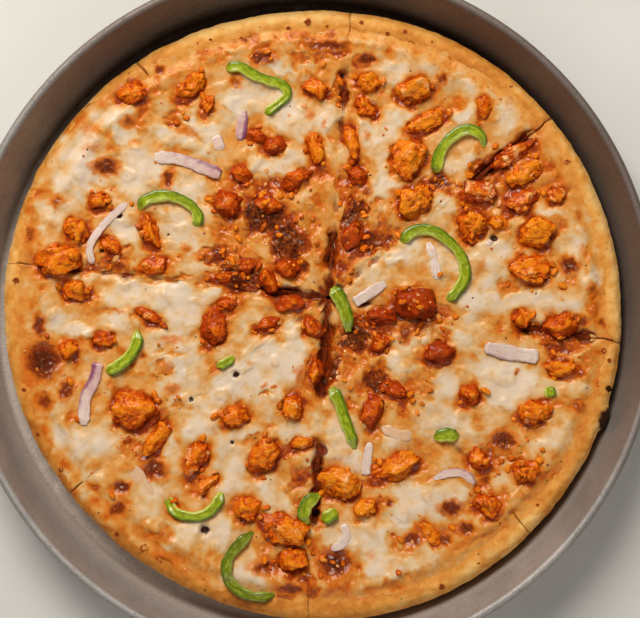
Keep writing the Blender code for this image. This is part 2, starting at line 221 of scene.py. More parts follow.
def sphereMesh(rings):
    # an even ball of unit size, from a cube's six sides
    points, faces = [], []
    steps = np.linspace(-1.0, 1.0, rings)
    bent = np.tan(steps * math.pi / 4.0)
    v, u = np.meshgrid(bent, bent, indexing="ij")
    one = np.ones_like(u)
    for side in ((u, v, one), (-u, v, -one), (one, u, v), (-one, -u, v), (v, one, u), (v, -one, -u)):
        faces += gridFaces(rings, rings, len(points) * rings * rings)
        points.append(np.stack(side, axis=-1).reshape(-1, 3))
    points = np.concatenate(points)
    points /= np.linalg.norm(points, axis=1, keepdims=True)
    keys, index = np.unique(np.round(points, 5), axis=0, return_inverse=True)
    index = index.reshape(-1)
    merged = np.zeros_like(keys)
    merged[index] = points
    turned = []
    for face in faces:
        corners = [int(index[k]) for k in face]
        a, b, c = (merged[corners[k]] for k in (0, 1, 2))
        if np.dot(np.cross(b - a, c - a), a) < 0.0:
            corners.reverse()
        turned.append(corners)
    return merged, turned


# The pan
pan = {
    "lipRadius": 177.3,
    "height": 38.0,
    "floorRadius": 163.0,  # inside
    "wall": 1.8,
    "floor": 2.0,
    "bead": 2.3,  # radius of the rolled lip
    "bend": 3.0,
    "steps": 288,
    "wobble": 0.12,
    "metal": tint(162, 156, 152),
    "metalLight": tint(192, 186, 182),
    # seasoned: painted shade with a painted reflection of the crust, the back wall's dark brown
    "seasoned": tint(100, 79, 66),
    # gap: painted light, a pale colour for the low front wall, which lies in shade
    "gap": tint(226, 216, 206),
    "bare": tint(176, 166, 156),  # where the finish has worn off the lip
    # stain: grime, and painted shade low in the pan
    "stainAndShade": tint(48, 30, 20),
    "pit": tint(60, 48, 40),
    "speck": tint(168, 150, 128),
    "metallic": 0.62,
}


def turnedMesh(profile, steps):
    rings = np.array(profile[1:-1])
    angles = np.arange(steps) * (2.0 * math.pi / steps)
    around = direction(angles)
    points = np.empty((len(rings), steps, 3))
    points[..., :2] = rings[:, None, :1] * around[None]
    points[..., 2] = rings[:, None, 1]
    points = points.reshape(-1, 3)
    faces = []
    for i in range(len(rings) - 1):
        for j in range(steps):
            k = (j + 1) % steps
            faces.append((i * steps + j, (i + 1) * steps + j, (i + 1) * steps + k, i * steps + k))
    last = (len(rings) - 1) * steps
    poles = len(points)
    for j in range(steps):
        k = (j + 1) % steps
        faces.append((poles, j, k))
        faces.append((poles + 1, last + k, last + j))
    ends = [(0.0, 0.0, profile[0][1]), (0.0, 0.0, profile[-1][1])]
    return np.vstack((points, ends)), faces


def panMetal():
    made, place, lip, low = newMaterial("worn grey pan metal", "lip", "low")
    cloud = place.clouds(26.0, 4.0, 0.6)
    pits = place.clouds(1.1, 2.0, 0.7).rise(0.56, 0.66)
    specks = 1.0 - place.cells(1.7).rise(0.12, 0.2)
    rings = place.stretch(1.0, 1.0, 9.0).clouds(3.2, 4.0, 0.7)
    streaks = place.stretch(0.25, 0.25, 1.0).clouds(2.0, 3.0, 0.6).rise(0.5, 0.75)
    # grime in cloudy patches, with painted shade added low on the wall
    grimeAndShade = (place.clouds(9.0, 5.0, 0.65) + low * 0.35).rise(0.55, 0.85)
    across, back = (place.node("SeparateXYZ", {}, {0: place}, axis) for axis in ("X", "Y"))
    # front: 1 at the front and left of the pan, 0 at the back and right
    front = 1.0 - (back + across * 0.6).rise(-90.0, 130.0)
    worn = (lip * 1.5 + place.clouds(4.0, 5.0, 0.7) * 0.5 - 0.9).rise(0.1, 0.7)
    colour = layered(
        (cloud * 0.6 + rings * 0.4).rise(0.3, 0.7).blend(pan["metal"], pan["metalLight"]),
        # painted shade and a painted reflection of the crust, darker and browner towards the back and right
        (0.75 - front * 0.75, pan["seasoned"]),
        # painted light low on the front wall, where the gap lies in shade
        (low * front * 0.9, pan["gap"]),
        (pits * 0.3, pan["pit"]),
        # grime in patches, and painted shade low on the wall, more at the back
        (grimeAndShade * (0.2 + low * 0.3 * (1.0 - front)), pan["stainAndShade"]),
        (specks * 0.3, pan["speck"]),
        (worn, pan["bare"]),
    )
    rough = 0.62 - worn * 0.24 + pits * 0.12 + grimeAndShade * 0.2 - streaks * 0.08
    height = rings * 0.4 + pits * -0.5 + streaks * 0.2 + place.clouds(0.6, 2.0) * 0.2
    setSurface(place, colour, rough, place.bump(height, 0.08), {"Metallic": pan["metallic"]})
    return made


def arc(x, z, radius, start, end, count):  # points round a corner of the profile, angles in degrees
    angles = np.radians(np.linspace(start, end, count))
    return [(x + radius * math.cos(a), z + radius * math.sin(a)) for a in angles]


def makePan():
    bead, bend, floor = pan["bead"], pan["bend"], pan["floor"]
    lean = (pan["lipRadius"] - 2.0 * bead - pan["floorRadius"]) / (pan["height"] - floor)
    lipX = pan["lipRadius"] - bead
    lipZ = pan["height"] - bead
    outside = pan["floorRadius"] + pan["wall"]
    profile = [(r, floor) for r in (0.0, 8.0, 40.0, 80.0, 120.0, 150.0, 158.0)]
    profile += arc(pan["floorRadius"] - bend, floor + bend, bend, -90.0, 0.0, 6)
    low = np.array(profile[-1])
    high = np.array((lipX - bead - lean * bead, lipZ - 0.9))
    profile += [tuple(low + (high - low) * k / 13.0) for k in range(1, 13)]
    profile += arc(lipX, lipZ, bead, 176.0, -65.0, 23)
    for z in np.linspace(lipZ - bead, bend, 9)[1:]:
        profile.append((outside + lean * (z - bend), z))
    for a in np.radians((22.5, 45.0, 67.5, 90.0)):
        profile.append((outside - 2.4 * (1.0 - math.cos(a)), bend * (1.0 - math.sin(a))))
    profile += [(r, 0.0) for r in (150.0, 80.0, 8.0, 0.0)]
    points, faces = turnedMesh(profile, pan["steps"])
    radius = np.linalg.norm(points[:, :2], axis=1)
    wall = soften(radius, 120.0, 165.0) * soften(radius, 177.4, 176.0)
    push = pan["wobble"] * noiseAt(points, 46.0, 3.1) * wall
    points[:, :2] *= (1.0 + push / np.maximum(radius, 1.0))[:, None]
    lip = np.clip(1.0 - np.hypot(radius - lipX, points[:, 2] - lipZ - 0.8) / 2.9, 0.0, 1.0)
    lowPart = 1.0 - soften(points[:, 2], 2.0, 24.0)
    newPiece("panDish", points, faces, panMetal(), {"lip": lip, "low": lowPart}, "pan")
    print("pan made")


# The pizza's outline and heights
pizza = {
    "middle": (3.9, -0.1),
    "radius": 158.6,
    "waves": ((1, 0.8, 147.0), (2, 1.4, -23.0), (3, 1.1, 46.0), (5, 0.3, -13.0)),
    "crossing": (10.6, 8.5),  # where the cuts meet
    "cuts": (-8.6, 38.8, 85.5, 129.0, 173.6, 216.9, 266.3, 310.7),
    "halfGap": 0.5,
    "sway": 1.5,  # how far a cut wanders from its line
    "gap": 0.3,
    "base": 2.3,
    # heights against the share of the way from the crossing to the edge
    "dough": (
        (0.0, 11.0), (0.40, 11.0), (0.74, 11.5), (0.82, 13.2), (0.87, 16.2), (0.90, 18.2), (0.921, 19.3),
        (0.943, 20.15), (0.955, 20.4), (0.965, 20.4), (0.975, 20.0), (0.985, 19.0), (0.993, 17.3),
    ),
    "side": ((0.998, 15.0), (1.0, 12.6), (1.0, 10.0), (0.998, 7.4), (0.993, 5.0), (0.986, 3.4), (0.976, 2.3)),
    "cheese": (
        (0.0, 16.2), (0.10, 16.6), (0.20, 16.9), (0.30, 17.0), (0.40, 17.0), (0.50, 17.0), (0.59, 17.1),
        (0.67, 17.3), (0.745, 17.9), (0.81, 18.9), (0.86, 20.2), (0.88, 20.75),
    ),
    "relief": 1.1,
    "reliefSize": 24.0,
    "swell": 0.9,
    # how open each cut is, from 0 to 1, against the distance from the crossing
    "open": (
        ((0, 0.8), (25, 0.5), (60, 0.45), (90, 0.3), (112, 0.9), (135, 0.9), (150, 0.3)),
        ((0, 0.8), (30, 0.4), (60, 0.2), (84, 0.1), (96, 0.8), (132, 1.0), (152, 0.4)),
        ((0, 0.9), (40, 0.6), (65, 0.2), (90, 0.6), (120, 0.5), (145, 0.25)),
        ((0, 0.7), (40, 0.25), (80, 0.05), (120, 0.05), (150, 0.3)),
        ((0, 1.0), (40, 0.8), (60, 0.5), (100, 0.4), (130, 0.6), (152, 0.2)),
        ((0, 0.8), (30, 0.2), (80, 0.1), (110, 0.3), (150, 0.3)),
        ((0, 1.0), (40, 1.0), (60, 0.4), (80, 0.9), (110, 0.6), (150, 0.2)),
        ((0, 0.8), (30, 0.3), (70, 0.3), (110, 0.3), (150, 0.25)),
    ),
    "edgeBrown": (  # how much the cheese's rim takes the dough's colour, against the angle round the crossing
        (0, 0.7), (60, 0.9), (128, 0.9), (138, 0.35), (160, 0.35), (172, 0.8), (188, 0.7), (200, 0.35),
        (222, 0.4), (234, 0.8), (270, 0.9), (300, 0.8), (360, 0.7),
    ),
    "cheeseEnds": (  # how far the cheese reaches, as a share, against the same angle
        (0, 0.945), (20, 0.945), (40, 0.95), (60, 0.94), (80, 0.93), (95, 0.93), (108, 0.94), (120, 0.95),
        (130, 0.965), (138, 0.975), (146, 0.988), (151, 0.972), (156, 0.988), (161, 0.978), (168, 0.965),
        (174, 0.955), (185, 0.96), (200, 0.965), (215, 0.97), (230, 0.965), (250, 0.955), (268, 0.94),
        (285, 0.93), (300, 0.925), (315, 0.93), (330, 0.95), (345, 0.95), (360, 0.945),
    ),
}
middle = np.array(pizza["middle"])
crossing = np.array(pizza["crossing"])


def stops(rows, x):
    return np.interp(x, [row[0] for row in rows], [row[1] for row in rows])


def edgeRadius(angle):
    waves = [size * np.cos(order * (angle - math.radians(turn))) for order, size, turn in pizza["waves"]]
    return pizza["radius"] + sum(waves)


def reachFrom(start, angle):
    distance = np.full(np.shape(angle), pizza["radius"])
    for _ in range(6):
        spot = start + direction(angle) * distance[..., None] - middle
        distance += edgeRadius(np.arctan2(spot[..., 1], spot[..., 0])) - np.linalg.norm(spot, axis=-1)
    return distance


def sliceAngles(k):
    cuts = pizza["cuts"] + (pizza["cuts"][0] + 360.0,)
    return math.radians(cuts[k]), math.radians(cuts[k + 1])


def sliceTip(k):
    first, last = sliceAngles(k)
    half = (last - first) / 2.0
    return crossing + direction(first + half) * (pizza["halfGap"] / math.sin(half))


def slicePlaces(k, shares, turns):
    # a slice's grid: shares along each ray and turns from 0 to 1 across the slice
    first, last = sliceAngles(k)
    tip = sliceTip(k)
    angles = first + (last - first) * turns
    rays = direction(angles) * reachFrom(tip, angles)[:, None]
    xy = tip + shares[:, None, None] * rays[None]
    share = np.repeat(shares, len(turns))
    angle = np.tile(angles, len(shares))
    return xy.reshape(-1, 2), share, angle


def cutWander(along, cut, size):  # noise along a cut, the same for the slices on both sides of it
    return flatNoise(np.column_stack((along, 0 * along)), cut, size)


def cutOpenness(rows, along, cut):
    wander = cutWander(along, cut % (2.0 * math.pi), 9.0)
    return np.clip(stops(rows, along) + 0.45 * wander, 0.0, 1.0)


def cutSway(along, cut):
    wander = cutWander(along, 10.0 + cut % (2.0 * math.pi), 7.0)
    return pizza["sway"] * wander * soften(along, 15.0, 70.0)


def seamPlaces(k, xy):
    # distance from the slice's nearer cut, the way into the slice, how open the cut is there and how it sways
    first, last = sliceAngles(k)
    away = xy - crossing
    found = []
    for cut, side, rows in ((first, 1.0, pizza["open"][k]), (last, -1.0, pizza["open"][(k + 1) % 8])):
        ray = direction(cut)
        across = (ray[0] * away[:, 1] - ray[1] * away[:, 0]) * side
        along = away @ ray
        inward = np.tile(np.array((-ray[1], ray[0])) * side, (len(xy), 1))
        sway = side * cutSway(along, cut)
        found.append((across - pizza["halfGap"], inward, cutOpenness(rows, along, cut), sway))
    near = found[0][0] < found[1][0]
    return [np.where(near[:, None] if one.ndim > 1 else near, one, other) for one, other in zip(*found)]


def rimSwell(angle):
    spots = np.column_stack((np.cos(angle), np.sin(angle), 0.0 * angle)) * 3.1
    return pizza["swell"] * noiseAt(spots, 1.0)


def doughTop(xy, share, angle):
    # the dough's upper side, with the soft humps and ridges of its rim
    out = soften(share, 0.90, 0.945)
    humps = 0.5 * flatNoise(xy, 5.0, 13.0) + 0.24 * flatNoise(xy, 9.0, 5.5)
    away = xy - crossing
    long = np.column_stack((np.arctan2(away[:, 1], away[:, 0]) * 26.0, share * 90.0, 0.0 * share))
    ridges = 0.16 * noiseAt(long, 1.6, 2.0)
    return stops(pizza["dough"], share) + (rimSwell(angle) + humps + ridges) * out


def cheeseEnd(xy, angle):
    turned = np.degrees(angle) % 360.0
    wander = 0.011 * flatNoise(xy, 21.0, 11.0) + 0.006 * flatNoise(xy, 27.0, 4.0)
    return stops(pizza["cheeseEnds"], turned) + wander


def shareAt(xy):
    away = xy - crossing
    angle = np.arctan2(away[:, 1], away[:, 0])
    return np.linalg.norm(away, axis=1) / reachFrom(crossing, angle), angle


# The dough
crust = {
    "turnSteps": 150,
    "rimFrom": 0.885,
    "rimRows": 26,
    "sideRows": 22,
    "toast": (  # how brown the rim is against the angle round the crossing
        (0, 0.3), (22, 0.3), (42, 0.65), (58, 0.75), (72, 0.8), (82, 0.6), (90, 0.3), (105, 0.2), (118, 0.3),
        (130, 0.45), (150, 0.35), (165, 0.35), (178, 0.4), (195, 0.65), (210, 0.9), (225, 0.95), (238, 0.85),
        (252, 0.9), (268, 0.85), (285, 0.6), (300, 0.5), (315, 0.5), (335, 0.42), (360, 0.3),
    ),
    "rings": (  # little burst bubbles: middle and radius
        (-150, 17, 2.1), (-146, 12, 2.1), (-145, 5, 1.5), (-34, 141, 2.1), (0, 150, 2.6), (10, 148, 1.0),
        (41, 144, 1.5), (50, 145, 1.5), (53, 139, 2.1), (133, 78, 2.1), (141, 50, 1.0), (144, 43, 2.1),
        (152, -19, 2.1), (155, -24, 1.5), (69, -140, 2.1), (-98, -113, 1.5), (-84, -120, 2.6), (64, 140, 1.0),
        (104, 117, 1.0), (-146, 23, 1.0), (-146, -39, 1.5), (152, 22, 1.0), (-76, 138, 1.0), (-10, 147, 1.5),
        (28, 150, 1.5), (149, 33, 0.8), (-139, -62, 1.4), (-127, -80, 1.8), (-110, -103, 1.3),
        (118, -98, 1.2), (88, -128, 0.9), (-50, 141, 1.2), (-118, 98, 1.0), (122, 96, 1.1),
    ),
    "burns": ((153.5, -55, 5.0, 7.5), (154, -38, 1.6, 2.2), (-146, -33, 0.8, 3.0)),
    "pale": tint(242, 194, 120),  # the dough, from the palest to the brownest
    "tan": tint(232, 163, 78),
    "gold": tint(208, 132, 52),
    "brown": tint(150, 80, 26),
    "oily": tint(220, 140, 54),  # beside the cheese
    "flank": tint(146, 76, 24),  # painted shade, low on the side by the pan
    "freckle": tint(176, 92, 26),
    "blotch": tint(186, 96, 30),
    "flour": tint(244, 206, 146),
    "bubble": tint(138, 58, 12),
    "burnt": tint(52, 22, 8),
    "grain": tint(250, 200, 130),
    # painted shade in the cuts through the rim
    "cutSide": tint(146, 66, 14),
    "burstOut": 2.2,  # how far a burnt bubble stands out
    "closer": 0.46,  # how much narrower a cut is at the rim than between the solids
}


def bubbles(xy, rows):
    # height in mm and brownness of little burst bubbles
    high = np.zeros(len(xy))
    brown = np.zeros(len(xy))
    for x, y, size in rows:
        away = np.hypot(xy[:, 0] - x, xy[:, 1] - y)
        near = np.flatnonzero(away < 2.6 * size)
        q = away[near] / (0.75 * size) + 0.55 * flatNoise(xy[near], x, 1.3)
        high[near] += 0.16 * size * np.exp(-(((q - 0.85) / 0.42) ** 2))
        high[near] -= 0.1 * size * np.exp(-((q / 0.5) ** 2))
        brown[near] = np.maximum(brown[near], 1.0 - 0.95 * soften(q, 0.5, 1.7))
    return high, brown


def crustDough():
    made, place, toast, inner, side, ring, burn, cutSide = newMaterial(
        "baked dough", "toast", "inner", "side", "ring", "burn", "cutSide"
    )
    broad = place.clouds(17.0, 4.0, 0.6)
    patch = place.clouds(6.0, 4.0, 0.6, 0.4)
    fine = place.clouds(1.6, 4.0, 0.65)
    grain = place.clouds(0.55, 2.0, 0.6)
    freckles = place.clouds(2.3, 3.0, 0.55).rise(0.62, 0.76)
    blotches = place.clouds(9.0, 4.0, 0.6).rise(0.5, 0.7)
    flour = place.clouds(3.1, 2.0).rise(0.6, 0.75)
    brownness = toast * 0.75 + inner * 0.35 + broad * 1.05 + patch - 1.14
    colour = layered(
        brownness.rise(0.0, 0.45).blend(crust["pale"], crust["tan"]),
        (brownness.rise(0.3, 0.75), crust["gold"]),
        ((brownness + fine * 0.3).rise(0.75, 1.25), crust["brown"]),
        (inner * (0.15 + patch * 0.5), crust["oily"]),
        # painted shade low on the crust's side
        (side * 0.8, crust["flank"]),
        (freckles * (0.3 + toast * 0.5), crust["freckle"]),
        (blotches * toast * 0.5, crust["blotch"]),
        (flour * 0.25 * (1.0 - toast), crust["flour"]),
        ((ring + (fine - 0.5) * 0.5 * ring).rise(0.3, 0.9), crust["bubble"]),
        ((burn + (fine - 0.5) * 0.6 * burn).rise(0.15, 0.7), crust["burnt"]),
    )
    colour = (0.2 * grain.rise(0.35, 0.7)).blend(colour, crust["grain"], "SOFT_LIGHT")
    # painted shade along the cuts through the rim, stronger where a cut is open
    colour = (cutSide * (0.4 + fine * 0.8)).rise(0.1, 0.7).blend(colour, crust["cutSide"])
    rough = 0.5 + patch * 0.2 - inner * 0.16 - burn * 0.15
    height = fine * 0.5 + grain * 0.4 + patch * 0.4 - freckles * 0.15
    light = softLight(0.12, (1.0, 0.45, 0.2), 2.0)
    setSurface(place, colour, rough, place.bump(height, 0.4), light, warmShine)
    return made


def makeCrust(k, material):
    turns = np.linspace(0.0, 1.0, crust["turnSteps"])
    rimTo = pizza["dough"][-1][0]
    top = [0.012, 0.2, 0.4, 0.6, 0.74, 0.82, 0.86]
    rim = crust["rimFrom"] + (rimTo - crust["rimFrom"]) * np.linspace(0.0, 1.0, crust["rimRows"]) ** 0.85
    sideZ = np.linspace(16.6, pizza["base"], crust["sideRows"])
    zs = [row[1] for row in reversed(pizza["side"])]
    sideShares = np.interp(sideZ, zs, [row[0] for row in reversed(pizza["side"])])
    under = np.array([0.9, 0.5, 0.012])
    shares = np.concatenate((top, rim, sideShares, under))
    steps = len(turns)
    xy, share, angle = slicePlaces(k, shares, turns)
    topCount = (len(top) + len(rim)) * steps
    z = np.empty(len(xy))
    z[:topCount] = doughTop(xy[:topCount], share[:topCount], angle[:topCount])
    z[topCount:] = np.repeat(np.concatenate((sideZ, np.full(len(under), pizza["base"]))), steps)
    sides = slice(topCount, topCount + len(sideZ) * steps)
    z[sides] += rimSwell(angle[sides]) * soften(z[sides], 11.0, 17.0)
    points = np.column_stack((xy, z))
    # humps on the side stand out from the middle of the pizza
    outward = xy - middle
    outward /= np.maximum(np.linalg.norm(outward, axis=1, keepdims=True), 1e-6)
    humps = 0.55 * noiseAt(points, 12.0, 1.0) + 0.3 * noiseAt(points, 4.5, 6.0)
    humps += 0.12 * noiseAt(points, 1.8, 8.0)
    flank = soften(share, 0.955, 0.985) * soften(z, 2.4, 5.5)
    points[:, :2] += outward * (humps * flank)[:, None]
    distance, inward, openness, sway = seamPlaces(k, xy)
    distance = np.maximum(distance, 0.0)
    closer = crust["closer"] * np.exp(-distance / 3.0) * soften(share, 0.83, 0.88)
    closer = closer * soften(z, 5.0, 10.0) - sway * np.exp(-distance / 4.0)
    points[:, :2] -= inward * closer[:, None]
    rounding = np.exp(-distance / 1.1) * soften(share, 0.9, 0.93) * soften(z, 9.0, 16.0)
    points[:, 2] -= (0.5 + 0.9 * openness) * rounding
    high, ring = bubbles(xy, crust["rings"])
    fine = 0.12 * noiseAt(points, 1.5, 4.0) + 0.18 * noiseAt(points, 2.8, 14.0)
    out = soften(share, 0.9, 0.93) * soften(z, 10.0, 15.0)
    points[:, 2] += (high + fine) * out
    burn = np.zeros(len(xy))
    for x, y, wide, tall in crust["burns"]:
        q = ovalReach(xy, x, y, wide, tall) + 0.2 * noiseAt(points, 2.5, x)
        burn = np.maximum(burn, 1.0 - soften(q, 0.5, 1.15))
    burst = crust["burstOut"] * burn * soften(share, 0.95, 0.99) * soften(z, 6.0, 12.0)
    points[:, :2] += outward * burst[:, None]
    points[:, 2] -= 0.8 * burn * out
    turned = np.degrees(angle) % 360.0
    gone = share - cheeseEnd(xy, angle)
    values = {
        "toast": stops(crust["toast"], turned) + 0.25 * flatNoise(xy, 3.0, 15.0),
        "inner": np.clip(1.0 - soften(gone, -0.01, 0.05) + 0.45 * flatNoise(xy, 8.0, 4.0), 0.0, 1.0) * out,
        "side": 1.0 - soften(z, 6.0, 15.5),
        "ring": ring,
        "burn": burn,
        "cutSide": np.exp(-distance / 0.7) * (0.4 + 0.6 * openness),
    }
    faces = gridFaces(len(shares), steps)
    rows = np.arange(len(shares)) * steps
    faces.append(tuple(rows.tolist()))
    faces.append(tuple((rows[::-1] + steps - 1).tolist()))
    last = (len(shares) - 1) * steps
    faces += [(last + j, j, j + 1, last + j + 1) for j in range(steps - 1)]
    newPiece(f"doughSlice{k + 1}", points, faces, material, values, f"crust_{k + 1}")


# The chicken's places: middle x and y, length, width and turn in degrees
chicken = {
    "seat": 0.35,
    "heightShare": 0.52,  # of the width
    "tallest": 8.5,
    "sunk": 0.7,
    "wider": 1.8,  # how much a piece gains on its solid, for its crags
    "bigRings": 23,
    "smallRings": 15,
    "orange": tint(226, 90, 0),
    # bright: painted light on the tops and ridges
    "bright": tint(250, 152, 24),
    "red": tint(178, 54, 0),
    # dark: painted shade in the hollows
    "dark": tint(92, 26, 0),
    "film": tint(250, 200, 136),  # thin melted cheese
    # shade: painted shade on the undersides
    "shade": tint(150, 46, 0),
    "charred": tint(120, 42, 10),
    "spice": tint(110, 36, 8),
    "tones": (  # how bright the meat is near each place, and how much cheese covers it
        (-128, 28, 0.4, 0), (-89, -49, 0.4, 0), (51, 81, 0.6, 0.2), (61, 99, 0.6, 0.2), (106, 83, -0.2, 0.55),
        (112, 73, 0.6, 0.4), (87, 63, -0.5, 0.95), (109, 58, 0.2, 0.3), (85, 46, 0.8, 0), (118, 42, 0.9, 0.2),
        (114, 24, 0.7, 0.2), (130, -6, -0.1, 0), (56, 6, -2, 0), (-13, -110, 0.1, 0.2), (16, -87, 0.7, 0.1),
        (46, -79, 0.7, 0.1), (-48, -6, -0.5, 0.1), (55, 59, 0.7, 0.1), (-22, -74, 0.2, 0.2), (-20, 57, -0.9, 0),
        (-20, 20, -0.9, 0), (20, 45, -0.9, 0), (30, -30, -0.8, 0), (60, 110, 0.6, 0.3), (10, 110, 0.2, 0.2),
        (-100, 40, 0.2, 0.1), (-60, 115, 0.2, 0.1), (-80, 0, -0.3, 0.1), (110, -60, -0.1, 0.1),
    ),
}
bigChunks = (
    (-128, 28, 23, 14, 0), (-89, -49, 24, 19, -15), (51, 81, 21, 17, 60), (61, 99, 23, 8, 22),
    (106, 83, 26, 7, 30), (112, 73, 20, 9, 28), (87, 63, 19, 11, 5), (109, 58, 18, 10, 20),
    (85, 46, 17, 14, 75), (118, 42, 17, 15, 0), (114, 24, 19, 13, -10), (130, -6, 17, 12, 0),
    (56, 6, 21, 16, -20), (-13, -110, 25, 14, -18), (16, -87, 22, 14, -20), (46, -79, 26, 11, 25),
    (-48, -6, 19, 12, 80), (55, 59, 19, 14, 45), (-22, -74, 19, 14, 50),
)
smallChunks = (
    (-59, 118, 18, 8, 50), (-52, 108, 9, 6, 70), (-90, 114, 15, 10, 20), (-108, 59, 9, 8, 0),
    (-119, 43, 13, 10, -60), (-101, 35, 12, 7, -60), (-81, 42, 17, 7, -70), (-79, 25, 16, 7, 15),
    (4, 117, 12, 9, -30), (-17, 87, 11, 8, 0), (-26, 92, 9, 5, -45), (-34, 73, 10, 7, -40),
    (-6, 70, 16, 8, 25), (4, 85, 17, 7, 100), (23, 89, 17, 7, 100), (-41, 57, 15, 12, -20),
    (-20, 57, 13, 9, -20), (-11, 24, 11, 8, -20), (-20, 17, 11, 7, -60), (-31, 25, 10, 7, -10),
    (-44, 19, 11, 5, 0), (-41, 5, 11, 6, -5), (-10, 6, 15, 7, 5), (31, 119, 12, 8, -20),
    (30, 107, 13, 7, -35), (54, 115, 16, 13, 30), (25, 71, 10, 8, 0), (23, 41, 15, 9, 70),
    (98, 48, 8, 7, 0), (110, -2, 9, 8, 90), (38, -1, 14, 8, 5), (68, -20, 15, 10, 25),
    (84, -41, 11, 10, 20), (117, -50, 17, 11, 10), (88, -75, 12, 9, -50), (112, -80, 13, 10, -20),
    (92, -98, 13, 10, -20), (131, -28, 18, 7, -5), (-119, 13, 14, 9, -15), (-123, -18, 9, 9, 0),
    (-105, -13, 10, 7, 10), (-81, -1, 16, 4, -22), (-78, -65, 19, 8, 57), (-57, -74, 19, 10, 60),
    (-38, -53, 15, 10, 10), (-7, -48, 12, 10, 80), (-2, -66, 13, 5, 15), (-31, -100, 13, 11, 0),
    (-8, -127, 14, 11, 20), (-21, -5, 15, 6, 25), (2, -7, 12, 8, -60), (4, -29, 14, 7, 90),
    (37, -15, 9, 7, 40), (33, -50, 17, 10, 80), (45, -39, 15, 7, -25), (30, -99, 13, 7, 32),
    (63, -113, 13, 5, -50), (-52, -87, 12, 6, 30), (127, 61, 8, 7, 0), (90, 106, 11, 5, 90),
    (-68, -100, 3, 3, 0),
)


# The cheese
cheese = {
    "rows": 186,
    "turnSteps": 166,
    "skirtRows": 5,
    "belowStep": 10,  # the underside has one row in ten
    "edgeThick": 0.5,
    "white": tint(230, 207, 182),  # from the palest cheese to the sauce
    "cream": tint(226, 187, 138),
    "tan": tint(221, 158, 84),
    "gold": tint(216, 136, 50),
    "orange": tint(204, 96, 12),
    "red": tint(150, 50, 4),
    "sauceDark": tint(70, 19, 1),
    "brown": tint(134, 48, 4),
    "burnt": tint(70, 20, 2),
    "curd": tint(222, 122, 40),
    "rimSpot": tint(190, 92, 20),
    "blister": tint(216, 112, 24),
    "blisterShine": tint(196, 104, 34),
    "deep": tint(100, 30, 5),  # painted shade, down in a cut and on the hidden sides
    # pit: painted shade in the holes
    "pit": tint(44, 14, 4),
    "speck": tint(120, 62, 16),
}
